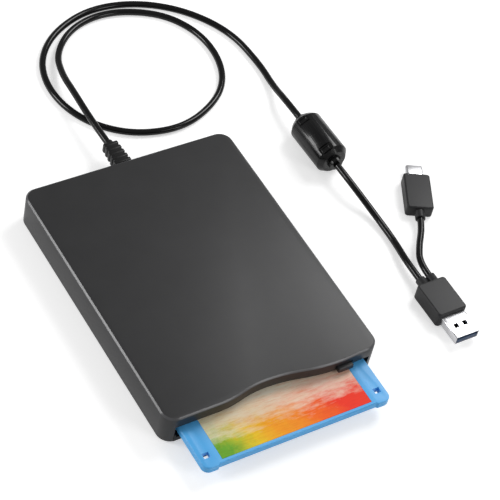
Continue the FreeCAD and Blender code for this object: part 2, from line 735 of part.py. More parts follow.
def make_pan():
    """Drive frame: a pressed pan with guide slots, brackets and stand-offs."""
    sheet = size("sheet")
    half = size("pan_half")
    base = FOOT + size("base_thick") + size("pan_gap")
    front = FRONT + 4
    floor = box("PanFloor", (-half, front, base), (2 * half, "pan_back - (%s)" % front, "sheet"))
    parts = [floor]
    slots = [rod("MotorHole", (0, SPINDLE_Y, base - 1), "motor_hole", 3)]
    for side in (-1, 1):
        low = -half if side < 0 else half - sheet
        parts.append(box("PanWall%d" % side, (low, front, base), ("sheet", 40 - front, "pan_wall")))
        for y in CAM_SPOTS:
            reach = size("pin_radius") + 0.2
            slots.append(box("PanSlot%d_%d" % (side, y), (low - 1, y - reach, CAM_LIFT - 1.6 - reach),
                             (3, 2 * reach, 1.8 + 2 * reach)))
    parts += pan_brackets(base + sheet)
    for number, (x, y) in enumerate([(-43, 53), (-20, 52), (-20, 63)]):
        parts.append(rod("Standoff%d" % number, (x, y, base), 1.6, size("pcb_lift") - base))
    whole = fuse("pan_whole", parts)
    slots.append(rod("RodHole", ("rod_x", 30, "lead_lift"), "rod_radius + 0.02", 45, "y"))
    slots.append(rod("LeadHole", ("screw_x", 30, "lead_lift"), "lead_radius + run_gap", 45, "y"))
    node("drive_frame", cut("drive_frame", whole, slots))


def pan_brackets(floor):
    """Upright lugs for the guide rod and the lead screw, and the lever's post."""
    base = floor - 0.1
    lift = size("lead_lift")
    lugs = []
    for number, (x, y, wide) in enumerate([("rod_x", 38.5, 5), ("rod_x", 65.9, 5), ("screw_x", 38.5, 6),
                                           ("screw_x", 66.0, 9.4)]):
        thick = 0.8
        lugs.append(box("Lug%d" % number, ("%s - %s / 2" % (x, wide), y, base),
                        (wide, thick, lift + 3 - base)))
    post = rod("LeverPost", ("lever_x", "lever_y", base), 1.2, 8.4 - base)
    collar = rod("LeverCollar", ("lever_x", "lever_y", base), 2.2, 6.4 - base)
    return lugs + [post, collar]


def make_spindle():
    """Flat spindle motor: board, wound core, bearing and the turning rotor with its pins."""
    base = FOOT + size("base_thick") + size("pan_gap")
    board_top = base + size("board_thick")
    board = rod("motor_board_disc", (0, SPINDLE_Y, base), "motor_hole - 0.6", "board_thick")
    node("motor_board", board)
    make_motor_core(board_top)
    ring = rod("BearingBlank", (0, SPINDLE_Y, board_top), 3.4, 0.6)
    bore = rod("BearingBore", (0, SPINDLE_Y, board_top - 1), 1.25, 3)
    node("spindle_bearing", cut("spindle_bearing", ring, [bore]))
    rotor = body("spindle_rotor")
    top = size("rotor_top")
    outer = size("motor_radius")
    points = [(0, board_top + 0.05), (1.2, board_top + 0.05), (1.2, top - 0.5), (outer - 1.4, top - 0.5),
              (outer - 1.4, top - 1.05), (outer, top - 1.05), (outer, top - 0.2), (outer - 0.2, top),
              (11, top), (11, top + 0.1), (1.9, top + 0.1), (1.9, 5.4), (1.7, 5.55), (0, 5.55)]
    profile = sketch(rotor, "RotorProfile", loop(points), 0, "XZ_Plane")
    profile.setExpression(".AttachmentOffset.Base.z", sheet_text("0 - (%s)" % SPINDLE_Y))
    revolve(rotor, profile, "V_Axis")
    pin = sketch(rotor, "DrivePin", [Part.Circle(V(0, SPINDLE_Y + 10, 0), UP, 0.8)], top - 0.3)
    pad(rotor, pin, 5.3 - top + 0.3)


def make_motor_core(base):
    """Ring core with a tooth and a coil for each of its nine poles."""
    ring = rod("CoreRing", (0, SPINDLE_Y, base), 7.5, 0.5)
    hole = rod("CoreHole", (0, SPINDLE_Y, base - 1), 4.5, 3)
    teeth = []
    poles = 9
    for number in range(poles):
        turn = 360 / poles * number
        tooth = Part.makeBox(11, 2.6, 0.5, V(6, -1.3, 0))
        cap = Part.makeBox(1.2, 5.4, 0.5, V(16, -2.7, 0))
        item = doc.addObject("Part::Feature", "Tooth%d" % number)
        item.Shape = tooth.fuse(cap).removeSplitter()
        item.Placement = FreeCAD.Placement(V(0, SPINDLE_Y, base), FreeCAD.Rotation(UP, turn))
        teeth.append(item)
    whole = fuse("core_whole", [ring] + teeth)
    node("motor_core", cut("motor_core", whole, [hole]))


def make_head_parts():
    """Stepper, lead screw, guide rod, carriage and the hinged upper head arm."""
    lift = "lead_lift"
    stepper = rod("StepperCan", ("screw_x", "pan_back + 0.05", lift), "stepper_radius", "stepper_length")
    stepper.Placement.Rotation = FreeCAD.Rotation(*TURNS["y"])
    node("stepper_motor", stepper)
    node("lead_screw", rod("lead_screw_bar", ("screw_x", 38.6, lift), "lead_radius", 28.1, "y"))
    node("guide_rod", rod("guide_rod_bar", ("rod_x", 38.5, lift), "rod_radius", 28.2, "y"))
    make_carriage()
    make_upper_arm()


def make_carriage():
    """Carriage block on the rod and the screw, with the lower arm, its head and hinge ears."""
    front = "carriage_front"
    deep = "carriage_length"
    block = box("CarriageBlock", (-10, front, 4.4), (27.2, deep, 5.2))
    foot = box("CarriageFoot", ("0 - arm_half", front, 3.0), ("2 * arm_half", deep, 1.6))
    arm = box("LowerArm", ("0 - arm_half", "head_y - 2", 3.0),
              ("2 * arm_half", "carriage_front - head_y + 3", 0.8))
    head = rod("LowerHead", (0, "head_y", 3.4), 1.3, 5.55 - 3.4)
    ears = [box("Ear%d" % side, (side * 4.6 - 0.6, "hinge_y - 1.8", 9.0), (1.2, 3.6, 4.1))
            for side in (-1, 1)]
    pin = rod("ArmPin", (-5.0, "hinge_y", "hinge_lift"), 0.6, 10, "x")
    whole = fuse("carriage_whole", [block, foot, arm, head, pin] + ears)
    rod_bore = rod("RodBore", ("rod_x", 40, "lead_lift"), "rod_radius + run_gap", 40, "y")
    nut_bore = rod("NutBore", ("screw_x", 40, "lead_lift"), "lead_radius + run_gap", 40, "y")
    node("head_carriage", cut("head_carriage", whole, [rod_bore, nut_bore]))


def make_upper_arm():
    """Sprung arm that carries the upper head, hinged on the carriage."""
    base = 10.9
    bar = box("UpperBar", ("0 - arm_half", "head_y - 2", base), ("2 * arm_half", "hinge_y - head_y + 2", 0.8))
    barrel = rod("ArmBarrel", ("0 - arm_half", "hinge_y", "hinge_lift"), 1.3, "2 * arm_half", "x")
    pad_ = rod("UpperHead", (0, "head_y", 9.35), 1.3, base - 9.35 + 0.1)
    whole = fuse("arm_whole", [bar, barrel, pad_])
    bore = rod("ArmBore", (-10, "hinge_y", "hinge_lift"), 0.65, 20, "x")
    node("upper_head_arm", cut("upper_head_arm", whole, [bore]))


def make_lever():
    """Lever that slides the disk's shutter open, parked behind the disk."""
    reach = size("lever_reach")
    turn = -size("lever_drop")
    thick = size("lever_thick")
    eye = Part.makeCylinder(2.4, thick)
    bar = Part.makeBox(reach, 2.0, thick, V(0, -1.0, 0))
    tip = Part.makeCylinder(1.0, thick + 0.5, V(reach, 0, -0.5))
    bore = Part.makeCylinder(1.25, 5, V(0, 0, -1))
    item = doc.addObject("Part::Feature", "shutter_lever")
    item.Shape = eye.fuse([bar, tip]).cut(bore).removeSplitter()
    item.Placement = FreeCAD.Placement(V(size("lever_x"), size("lever_y"), 6.5), FreeCAD.Rotation(UP, turn))
    node("shutter_lever", item)


def make_board():
    """Interface board behind the drive, with its chips and the cord's socket."""
    board = body("interface_board")
    left, right = size("pcb_left"), size("pcb_right")
    step_x, step_y = size("pcb_step_x"), size("pcb_step_y")
    front, back = size("pcb_front"), size("pcb_back")
    plan = loop([(left, front), (step_x, front), (step_x, step_y), (right, step_y),
                 (right, back), (left, back)])
    pad(board, sketch(board, "BoardPlan", plan, "pcb_lift"), "pcb_thick")
    boss = V(-size("screw_across"), BACK - size("screw_back"), 0)
    holes = [Part.Circle(boss, UP, size("boss_radius") + 0.5)]
    pocket(board, sketch(board, "BoardHoles", holes, "pcb_lift - 1"), "pcb_thick + 2")
    top = "pcb_lift + pcb_thick"
    chips = [box("Controller", (-36, 56, top), (10, 10, 1.2)), box("Memory", (-40, 50.5, top), (8, 4, 1.0)),
             box("Crystal", (-24, 66, top), (4.5, 1.9, 1.4)), box("Regulator", (-30, 70, top), (4, 3.4, 1.5))]
    for number in range(5):
        spot = (-24 + 2.4 * (number % 2), 54 + 2.2 * number, top)
        chips.append(box("Capacitor%d" % number, spot, (1.6, 0.8, 0.8)))
    node("board_chips", fuse("board_chips", chips))
    socket = box("SocketBlock", ("exit_x - 4", "%s - socket_inset" % BACK, top),
                 (8, "socket_deep", 5.2))
    lead = rod("SocketLead", ("exit_x", "%s - socket_bore" % BACK, "exit_lift"),
               "cord_radius + 0.05", 10, "y")
    node("cord_socket", cut("cord_socket", socket, [lead]))
    across = size("pan_half") - size("sensor_inset")
    spots = [(side * across - 1.5, "front + sensor_front", "foot_height + base_thick + sensor_lift")
             for side in (-1, 1)]
    sensors = [box("Sensor%d" % number, spot, (3, 4, 1.1)) for number, spot in enumerate(spots)]
    node("sensor_switches", fuse("sensor_switches", sensors))


# Cord routes, by hand along the photographed line, in the floor's frame
MAIN_ROUTE = [
    (1.2, 96.5, 8.4), (0.7, 111, 8.4), (1.6, 131, 8.0), (3.6, 147, 4.4), (8.8, 162.5, 1.6),
    (23.5, 176, 1.6), (45, 179.9, 1.6), (67.4, 170.8, 1.6), (78.8, 155.3, 1.6),
    (81.6, 137, 1.6), (76.6, 119.4, 1.6), (64.5, 106.8, 1.6), (43.5, 97.9, 1.6),
    (21.6, 101.2, 1.6), (5.8, 112, 1.6), (-3.4, 128, 1.6), (-5, 146.5, 1.6),
    (1, 163.2, 1.6), (15.6, 176.8, 1.6), (37.5, 184.5, 1.6), (60.9, 180.9, 1.6),
    (81.3, 167.7, 1.6), (95.2, 146.5, 1.6), (97.6, 122, 1.6), (95.9, 106, 2.2),
    (92.88, 90, 8), (93.2, 77.6, 8),
]
PLUG_ROUTE = [
    (94, 46.1, 8), (94.3, 34.1, 8), (97.8, 17.5, 2.8), (98.3, 0, 1.7), (95.4, -13.5, 4),
    (95.4, -24.8, 4),
]
BRANCH_ROUTE = [
    (100.6, -24.8, 4), (100.6, -16.5, 4), (106.3, -7.5, 3.5), (113.31, 0.9, 3.25),
    (116.07, 6.24, 3.25),
]


def cord_path(route):
    """Straight runs joined by tangent arcs, each as large as its two runs allow."""
    points = [V(*point) for point in route]
    edges = []
    radii = []
    here = points[0]
    for before, corner, after in zip(points, points[1:], points[2:]):
        to_before = (before - corner).normalize()
        to_after = (after - corner).normalize()
        half_turn = (math.pi - to_before.getAngle(to_after)) / 2
        reach = 0.45 * min((corner - before).Length, (after - corner).Length)
        radius = reach / math.tan(half_turn)
        start = corner + to_before * reach
        end = corner + to_after * reach
        bisector = (to_before + to_after).normalize()
        middle = corner + bisector * (radius / math.cos(half_turn) - radius)
        edges.append(Part.LineSegment(here, start).toShape())
        edges.append(Part.Arc(start, middle, end).toShape())
        radii.append(round(radius, 1))
        here = end
    edges.append(Part.LineSegment(here, points[-1]).toShape())
    return Part.Wire(edges), radii


def make_cord(name, route):
    """A round cord along its route; its volume is compared with section times length."""
    path, radii = cord_path(route)
    radius = size("cord_radius")
    direction = V(*route[1]) - V(*route[0])
    section = Part.Wire(Part.Circle(V(*route[0]), direction, radius).toShape())
    tube = path.makePipeShell([section], True, False)
    expected = math.pi * radius ** 2 * path.Length
    if abs(tube.Volume - expected) > 0.01 * expected:
        raise ValueError(name + " has the wrong volume")
    print(name, "length", round(path.Length, 1), "mm, radii", radii)
    item = doc.addObject("Part::Feature", name)
    item.Shape = tube
    node(name, item)


def make_boot():
    """Ribbed strain relief: a tapered block behind the wall, a neck and an inner flange."""
    boot = body("strain_relief")
    width, height = size("boot_width"), size("boot_height")
    x, z = size("exit_x"), size("exit_lift")
    tip = size("boot_tip") / 2
    end = BACK + size("boot_length")
    big = outline_at(x, z, width / 2 - 0.1, height / 2 - 0.1, 1.0)
    small = outline_at(x, z, tip, height / 2 - 0.5, 1.0)
    inner = BACK - size("side_wall") - 0.1
    base = upright(boot, "BootBase", big, inner)
    pad(boot, base, "side_wall + 1.6").Reversed = True
    doc.recompute()
    loft = boot.newObject("PartDesign::AdditiveLoft", "BootTaper")
    loft.Profile = upright(boot, "TaperStart", big, BACK + 1.5)
    loft.Sections = [upright(boot, "TaperEnd", small, end - 2.2)]
    doc.recompute()
    flange = outline_at(x, z, width / 2 + 0.9, height / 2 + 0.4, 0.8)
    pad(boot, upright(boot, "BootFlange", flange, inner - 0.9), "0.8").Reversed = True
    doc.recompute()
    nose = [Part.Circle(V(x, z, 0), UP, size("cord_radius") + 0.7)]
    pad(boot, upright(boot, "BootNose", nose, end - 2.3), "2.3").Reversed = True
    doc.recompute()
    cut_ribs(boot, x, z, width, height)
    hole = [Part.Circle(V(x, z, 0), UP, size("cord_radius") + 0.05)]
    pocket(boot, upright(boot, "BootBore", hole, inner - 2), "60", False)


def cut_ribs(boot, x, z, width, height):
    """Grooves across the boot's top, bottom and flanks that leave the ribs standing."""
    ribs = int(size("boot_ribs"))
    start = BACK + 2.2
    pitch = (size("boot_length") - 5.4) / ribs
    slots = []
    for number in range(ribs):
        y = start + pitch * number
        slots += rect(x - width, x + width, y, y + size("boot_groove"))
    above = sketch(boot, "GroovesAbove", slots, z + height / 2 - 1.0)
    pocket(boot, above, "3")
    below = sketch(boot, "GroovesBelow", slots, z - height / 2 - 2)
    pocket(boot, below, "3")


def outline_at(x, z, half_width, half_height, radius):
    """A rounded rectangle about a point, for upright sketches."""
    return rounded(x - half_width, x + half_width, z - half_height, z + half_height, radius)


def upright(owner, name, edges, y):
    """Draw edges in a vertical plane across the drive, at a distance along Y."""
    return sketch(owner, name, edges, "0 - (%s)" % y, "XZ_Plane")


FERRITE_TURN = 1.455


def along_ferrite(item):
    """Place a piece that was drawn along -Y from the ferrite's entry."""
    spot = V(size("ferrite_x"), size("ferrite_y"), size("ferrite_radius"))
    item.Placement = FreeCAD.Placement(spot, FreeCAD.Rotation(UP, FERRITE_TURN))


def turned(points):
    """Turn an outline of (distance, radius) points about the cord's line."""
    wire = Part.makePolygon([V(0, -along, out) for along, out in points + points[:1]])
    return Part.Face(wire).revolve(V(0, 0, 0), V(0, 1, 0), 360)


def make_ferrite():
    """Barrel of two half shells round a ferrite core, with the cord through its bore."""
    length = size("ferrite_length")
    outer = size("ferrite_radius")
    bore = size("cord_radius") + 0.05
    core = size("core_radius")
    collar = 3.2
    shell = turned([(0, bore), (0, collar), (2.2, collar + 0.3), (2.2, outer - 2), (4.6, outer),
                    (length - 4.6, outer), (length - 2.2, outer - 2), (length - 2.2, collar + 0.3),
                    (length, collar), (length, bore)])
    hollow = turned([(4, 0.5), (4, core + 0.1), (length - 4, core + 0.1), (length - 4, 0.5)])
    shell = shell.cut(hollow)
    span = 40
    upper = Part.makeBox(span, span, span, V(-span / 2, -span + 1, 0))
    lower = Part.makeBox(span, span, span, V(-span / 2, -span + 1, -span))
    for name, half in (("ferrite_upper_case", upper), ("ferrite_lower_case", lower)):
        item = doc.addObject("Part::Feature", name)
        item.Shape = shell.common(half)
        along_ferrite(item)
        node(name, item)
    ring = turned([(4.1, bore), (4.1, core), (length - 4.1, core), (length - 4.1, bore)])
    item = doc.addObject("Part::Feature", "ferrite_core")
    item.Shape = ring
    along_ferrite(item)
    node("ferrite_core", item)
    inner = Part.makeCylinder(size("cord_radius"), length, V(0, 0, 0), V(0, -1, 0))
    item = doc.addObject("Part::Feature", "cord_in_ferrite")
    item.Shape = inner
    along_ferrite(item)
    node("cord_in_ferrite", item)


def make_inner_cord():
    """The cord's end inside the boot and the socket."""
    start = BACK - 5.6
    length = "boot_length + 5.6 - 0.06"
    node("cord_inner_end", rod("inner_cord", ("exit_x", start, "exit_lift"), "cord_radius", length, "y"))


def shell_tube(name, low, spans, wall, radius):
    """A drawn metal plug shell, open at both ends along Y."""
    x, y, z = low
    width, length, height = spans
    outer = prism_y(name + "Outer", x, z, width, height, radius, y, length)
    inner = prism_y(name + "Inner", x + wall, z + wall, width - 2 * wall, height - 2 * wall,
                    max(radius - wall, 0.1), y - 1, length + 2)
    return outer, inner


def prism_y(name, x, z, width, height, radius, y, length):
    """A rounded bar along +Y."""
    edges = [edge.toShape() for edge in rounded(x, x + width, z, z + height, radius)]
    face = Part.Face(Part.Wire(Part.sortEdges(edges)[0]))
    solid = face.extrude(V(0, 0, -length))
    solid.rotate(V(0, 0, 0), V(1, 0, 0), 90)
    item = doc.addObject("Part::Feature", name)
    item.Shape = solid
    item.Placement = FreeCAD.Placement(V(0, y, 0), item.Placement.Rotation)
    return item


def make_plug_a():
    """USB-A plug: overmould with two cord collars, metal shell and contact tongue."""
    mould = body("usb_a_overmould")
    x, back = size("a_x"), size("a_back")
    half = size("a_width") / 2
    thick = size("a_thick")
    plan = rounded(x - half, x + half, back - size("a_length"), back, 1.6)
    solid = pad(mould, sketch(mould, "MouldPlan", plan, 0), "a_thick")
    upper = bevel(mould, solid, thick, 0.9, "PartDesign::Fillet")
    bevel(mould, upper, 0, 0.9, "PartDesign::Fillet")
    collars = circles_at([(size("cord_entry_x"), thick / 2), (size("branch_x"), thick / 2)], 2.35)
    pad(mould, upright(mould, "MouldCollars", collars, back - 0.5), "a_collar + 0.5").Reversed = True
    doc.recompute()
    length = size("a_shell_length")
    front = back - size("a_length") - length
    wall = size("a_shell_wall")
    width, height = size("a_shell_width"), size("a_shell_height")
    low = thick / 2 - height / 2
    outer, inner = shell_tube("AShell", (x - width / 2, front, low),
                              (width, length - 0.02, height), wall, 0.5)
    holes = []
    for side in (-1, 1):
        spot = (x + side * 2.25 - 1.1, front + 5.0, low - 1)
        holes.append(box("AShellHole%d" % side, spot, (2.2, 2.2, height + 2)))
    node("usb_a_shell", cut("usb_a_shell", outer, [inner] + holes))
    make_tongue_a(x, front, low + wall, length)


def make_tongue_a(x, front, low, length):
    """Contact tongue with its four gold contacts as raised strips."""
    wide = size("a_shell_width") - 2 * size("a_shell_wall") - 0.2
    slab = box("TongueSlab", (x - wide / 2, front + 0.4, low + 0.08), (wide, length - 0.45, 1.85))
    node("usb_a_tongue", slab)
    strips = []
    for number in range(4):
        spot = x - 3.5 + 7.0 / 3 * number
        strips.append(box("AContact%d" % number, (spot - 0.5, front + 1.6, low + 1.93), (1.0, 8.0, 0.12)))
    node("usb_a_contacts", fuse("usb_a_contacts", strips))


def make_plug_c():
    """USB-C plug, drawn along +Y from its rear and then turned into place."""
    spot = FreeCAD.Placement(V(size("c_x"), size("c_y"), 0), FreeCAD.Rotation(UP, size("c_turn")))
    half = size("c_width") / 2
    thick = size("c_thick")
    mould = body("usb_c_overmould")
    plan = rounded(-half, half, 0, size("c_length"), 1.4)
    solid = pad(mould, sketch(mould, "CMouldPlan", plan, 0), "c_thick")
    upper = bevel(mould, solid, thick, 0.9, "PartDesign::Fillet")
    bevel(mould, upper, 0, 0.9, "PartDesign::Fillet")
    collar = circles_at([(0, thick / 2)], 2.35)
    pad(mould, upright(mould, "CCollar", collar, 0.5), "c_collar + 0.5")
    mould.Placement = spot
    length = size("c_shell_length")
    width, height = size("c_shell_width"), size("c_shell_height")
    outer, inner = shell_tube("CShell", (-width / 2, size("c_length") + 0.02, thick / 2 - height / 2),
                              (width, length, height), size("c_shell_wall"), height / 2 - 0.01)
    shell = cut("usb_c_shell", outer, [inner])
    shell.Placement = spot
    node("usb_c_shell", shell)
    tongue = box("usb_c_tongue", (0, 0, 0), (4.6, length - 1.6, 0.65))
    node("usb_c_tongue", tongue)
    for axis in "xyz":
        tongue.setExpression(".Placement.Base." + axis, None)
    tongue.Placement = spot.multiply(FreeCAD.Placement(V(-2.3, size("c_length") + 0.02, thick / 2 - 0.325),
                                                       FreeCAD.Rotation()))


def check_document():
    """Stop if any object failed or any sub-part has no valid solid."""
    doc.recompute()
    for item in doc.Objects:
        if "Invalid" in item.State or "Error" in item.State:
            raise ValueError("%s failed: %s" % (item.Name, item.State))
    for name, item in NODES.items():
        shape = item.Shape
        if shape.isNull() or not shape.isValid() or not shape.Solids:
            raise ValueError(name + " has no valid solid")


def export_nodes():
    """Write each sub-part to its own file."""
    os.makedirs("parts", exist_ok=True)
    for name, item in NODES.items():
        item.Shape.exportStep("parts/%s.step" % name)
    print(len(NODES), "nodes written")


def main():
    """Build the drive, its disk and its cord, then check and write them."""
    make_top_cover()
    make_bottom_cover()
    make_feet()
    make_screws()
    make_disk()
    make_eject_parts()
    make_cradle()
    make_pan()
    make_spindle()
    make_head_parts()
    make_lever()
    make_board()
    make_boot()
    make_inner_cord()
    make_ferrite()
    make_cord("main_cable", MAIN_ROUTE)
    make_cord("plug_cable", PLUG_ROUTE)
    make_cord("branch_cable", BRANCH_ROUTE)
    make_plug_a()
    make_plug_c()
    check_document()
    export_nodes()


main()
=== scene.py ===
"""Looks for an external floppy disk drive with its disk and its USB cord."""
import json
import math

import bpy
from bpy.props import FloatProperty, FloatVectorProperty, IntProperty, PointerProperty
from mathutils import Matrix, Vector

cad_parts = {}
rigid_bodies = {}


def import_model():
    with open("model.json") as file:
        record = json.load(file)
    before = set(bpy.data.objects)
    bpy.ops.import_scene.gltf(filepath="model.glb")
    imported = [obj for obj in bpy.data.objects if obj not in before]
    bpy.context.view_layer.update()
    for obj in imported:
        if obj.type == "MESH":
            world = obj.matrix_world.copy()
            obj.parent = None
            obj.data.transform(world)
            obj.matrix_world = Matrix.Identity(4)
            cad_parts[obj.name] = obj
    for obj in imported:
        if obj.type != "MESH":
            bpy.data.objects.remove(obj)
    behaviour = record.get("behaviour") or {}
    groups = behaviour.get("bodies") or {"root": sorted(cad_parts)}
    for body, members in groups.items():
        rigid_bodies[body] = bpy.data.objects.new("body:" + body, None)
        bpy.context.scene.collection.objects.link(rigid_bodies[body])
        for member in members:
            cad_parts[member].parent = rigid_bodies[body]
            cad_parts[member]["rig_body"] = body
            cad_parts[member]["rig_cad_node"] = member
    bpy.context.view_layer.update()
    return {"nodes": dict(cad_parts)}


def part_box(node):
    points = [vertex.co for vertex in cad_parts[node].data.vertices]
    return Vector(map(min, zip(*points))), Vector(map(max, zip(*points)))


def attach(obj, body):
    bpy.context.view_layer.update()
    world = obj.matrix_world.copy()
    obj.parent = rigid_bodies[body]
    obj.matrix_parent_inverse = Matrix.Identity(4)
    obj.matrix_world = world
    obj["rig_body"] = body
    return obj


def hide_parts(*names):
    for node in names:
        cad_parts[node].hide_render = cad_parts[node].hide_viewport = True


bl_info = {
    "name": "Floppy Drive Looks",
    "version": (1, 0, 0),
    "blender": (4, 5, 0),
    "location": "View3D > Sidebar > Floppy Drive",
    "description": "Dresses an external floppy disk drive, its disk and its USB cord",
    "category": "Object",
}

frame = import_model()

# Sizes and places are in metres, in the frame's axes, and angles in degrees

# Control points of the three cords
MAIN_ROUTE = [
    (0.0012, 0.0965, 0.0084), (0.0007, 0.111, 0.0084), (0.0016, 0.131, 0.008),
    (0.0036, 0.147, 0.0044), (0.0088, 0.1625, 0.0016), (0.0235, 0.176, 0.0016),
    (0.045, 0.1799, 0.0016), (0.0674, 0.1708, 0.0016), (0.0788, 0.1553, 0.0016),
    (0.0816, 0.137, 0.0016), (0.0766, 0.1194, 0.0016), (0.0645, 0.1068, 0.0016),
    (0.0435, 0.0979, 0.0016), (0.0216, 0.1012, 0.0016), (0.0058, 0.112, 0.0016),
    (-0.0034, 0.128, 0.0016), (-0.005, 0.1465, 0.0016), (0.001, 0.1632, 0.0016),
    (0.0156, 0.1768, 0.0016), (0.0375, 0.1845, 0.0016), (0.0609, 0.1809, 0.0016),
    (0.0813, 0.1677, 0.0016), (0.0952, 0.1465, 0.0016), (0.0976, 0.122, 0.0016),
    (0.0959, 0.106, 0.0022), (0.09288, 0.09, 0.008), (0.0932, 0.0776, 0.008),
]
PLUG_ROUTE = [
    (0.094, 0.0461, 0.008), (0.0943, 0.0341, 0.008), (0.0978, 0.0175, 0.0028),
    (0.0983, 0, 0.0017), (0.0954, -0.0135, 0.004), (0.0954, -0.0248, 0.004),
]
BRANCH_ROUTE = [
    (0.1006, -0.0248, 0.004), (0.1006, -0.0165, 0.004), (0.1063, -0.0075, 0.0035),
    (0.11331, 0.0009, 0.00325), (0.11607, 0.00624, 0.00325),
]
CORD_RADIUS = 0.0016
SPLINE_STEPS = 12

# Edges of the pieces copied from the frame
JOIN_GAP = 0.000002
FLAT_ANGLE = 0.5
COPY_LIMIT = 35
GRIP_EDGE = 0.0002
SLEEVE_EDGE = 0.00006
# Least share of a face's normal along a direction that it counts as facing
FACING = 0.9
# The cover's chamfer: its depth, and the upward share of its faces' normals
CHAMFER_DEPTH = 0.001
CHAMFER_SLOPE = (0.35, 0.95)

# The ribbed boot, with places counted from the wall and spans as width, length and height
BOOT_LENGTH = 0.0185
BOOT_LINE = Vector((MAIN_ROUTE[0][0], 0, MAIN_ROUTE[0][2]))
BOOT_BACK = MAIN_ROUTE[0][1] - BOOT_LENGTH
BOOT_WIDTH, BOOT_TIP_WIDTH = 0.0088, 0.0072
BOOT_HEIGHT, BOOT_TIP_HEIGHT = 0.0052, 0.0046
ROOT_LENGTH, ROOT_EDGE = 0.0042, 0.0004
RIBS = 5
RIB_PITCH = 0.0028
FIRST_RIB = 0.0046
RIB_LENGTH, RIB_EDGE = 0.0020, 0.0005
SPINE_SPANS = (0.0080, 0.0170, 0.0047)
SPINE_MIDDLE = 0.0075
SPINE_TAPER = (0.84, 0.92)
SPINE_EDGE = 0.0007
COLLAR_RADIUS, COLLAR_LENGTH, COLLAR_EDGE = 0.00225, 0.0032, 0.0004

# The ferrite bead, between the ends of two cords; its latches' spans are out, along and across
BEAD_MIDDLE = Vector([(one + two) / 2 for one, two in zip(MAIN_ROUTE[-1], PLUG_ROUTE[0])])
BEAD_TURN = math.radians(1.455)
BEAD_RADIUS = 0.008
BEAD_EDGE = 0.00022
SEAM_ROLL = math.radians(-60)
LATCH_PLACES = (-0.0098, 0.0098)
WINDOW_SPANS = (0.0018, 0.0040, 0.0062)
LATCH_SPANS = (0.0011, 0.0030, 0.0046)
LATCH_SINK = 0.0008
LATCH_RIM, LATCH_PRESS = 0.0007, 0.0005
LATCH_EDGE = 0.00015

# The small plug and its sleeve
SMALL_PLUG_PLACE = (Matrix.Translation((0.1179, 0.0098, 0.00325))
                    @ Matrix.Rotation(math.radians(-27.3), 4, "Z"))
SLEEVE_BACK = 0.02142
SLEEVE_LENGTH, SLEEVE_WIDTH, SLEEVE_HEIGHT = 0.00665, 0.00834, 0.00256
SLEEVE_WALL = 0.00025

# Faces round the collar and the sleeve
COLLAR_SIDES, SLEEVE_SIDES = 40, 48

# Tints that more than one piece has
SOFT_BLACK = (0.02, 0.02, 0.02)
NICKEL = (0.80, 0.80, 0.82)

# Moulded plastic: blotches per metre, how far its roughness swings, and its coat's roughness
MOTTLE_SCALE = 60
PLASTIC_SWING = (-0.05, 0.07)
COAT_ROUGHNESS = 0.12
# Bare metal: clouds per metre, their darkest share, its swing and the depth of its marks
HAZE_SCALE = 45
HAZE_SHADE = 0.86
METAL_SWING = (-0.06, 0.10)
MARK_DEPTH = 0.000004

# The label's wash, in widths of the label: its hues, and the place where the first begins
WASH = [(0.10, (0.160, 0.430, 0.030)), (0.20, (0.480, 0.560, 0.030)),
        (0.31, (0.930, 0.620, 0.020)), (0.50, (1.000, 0.380, 0.010)),
        (0.72, (1.000, 0.160, 0.004)), (0.94, (0.950, 0.030, 0.004))]
WASH_START = 0.24
# How far the bands lean, how far blots push them, and how far strokes reach into the paper
WASH_LEAN = 0.45
BLOT_PUSH = (0.50, 0.20, 0.0)
STROKE_REACH = 0.34
# Brush strokes: their turn, their stretch, how many lie in a width, and how rough they are
BROAD_STROKES = (-24, (0.6, 2.6, 1), 9.0, 0.7)
FINE_STROKES = (-31, (0.35, 3.2, 1), 34.0, 0.75)
# Where the wash thins out to bare paper, and how strongly fine streaks stain it
WASH_FADE = [(0.36, (0, 0, 0)), (0.46, (0.62, 0.62, 0.62)), (0.60, (1, 1, 1))]
STREAK_TINTS = [(0.36, (0.80, 0.52, 0.26)), (0.52, (1, 1, 1))]
STREAK_SHARE = 0.40

# The mix node's sockets by place, because its kinds of value share their names
MIX_FACTOR = 0
MIX_VALUES = (2, 3)
MIX_TINTS = (6, 7)
MIX_TINT_OUT = 2

# The floor: its side, its grey, its glow, and the share of the glow that gloss shows
FLOOR_SIDE = 6
FLOOR_GREY = (0.80, 0.80, 0.80, 1)
FLOOR_GLOW = 0.50
GLOW_IN_GLOSS = 0.6

# Each lamp's setting, place and side, and the point that all of them face
LAMPS = [("key", (0.56, 0.22, 0.60), 0.34), ("side", (-0.64, 0.40, 0.30), 0.30),
         ("front", (0.36, -0.66, 0.44), 0.30)]
LAMP_AIM = Vector((0.02, 0.0, 0.01))

# The camera, fitted to the corners of the disk and the housing in the photograph
CAMERA_TURN, CAMERA_TILT, CAMERA_ROLL = (math.radians(angle) for angle in (-40.46, 48.15, 13.96))
CAMERA_AIM = Vector((0, 0.0111, 0.0010))
CAMERA_DISTANCE, CAMERA_RIGHT, CAMERA_UP = 0.880, 0.0244, 0.0170
FOCAL_PIXELS, PHOTO_PIXELS = 2034, 500
SENSOR_MM = 36.0


# Sizes and colours a user would change

def colour(name, value, about):
    """Make a colour setting."""
    return FloatVectorProperty(name=name, description=about, default=value, size=3,
                               min=0.0, max=1.0, subtype="COLOR")


def length(name, value, about):
    """Make a length setting in metres."""
    return FloatProperty(name=name, description=about, default=value, min=0.0,
                         precision=5, unit="LENGTH", subtype="DISTANCE")


def power(name, value, about):
    """Make a setting for a lamp's power."""
    return FloatProperty(name=name, description=about, default=value, min=0.0, unit="POWER")


def share(name, value, about):
    """Make a setting from 0 to 1."""
    return FloatProperty(name=name, description=about, default=value, min=0.0, max=1.0,
                         subtype="FACTOR")


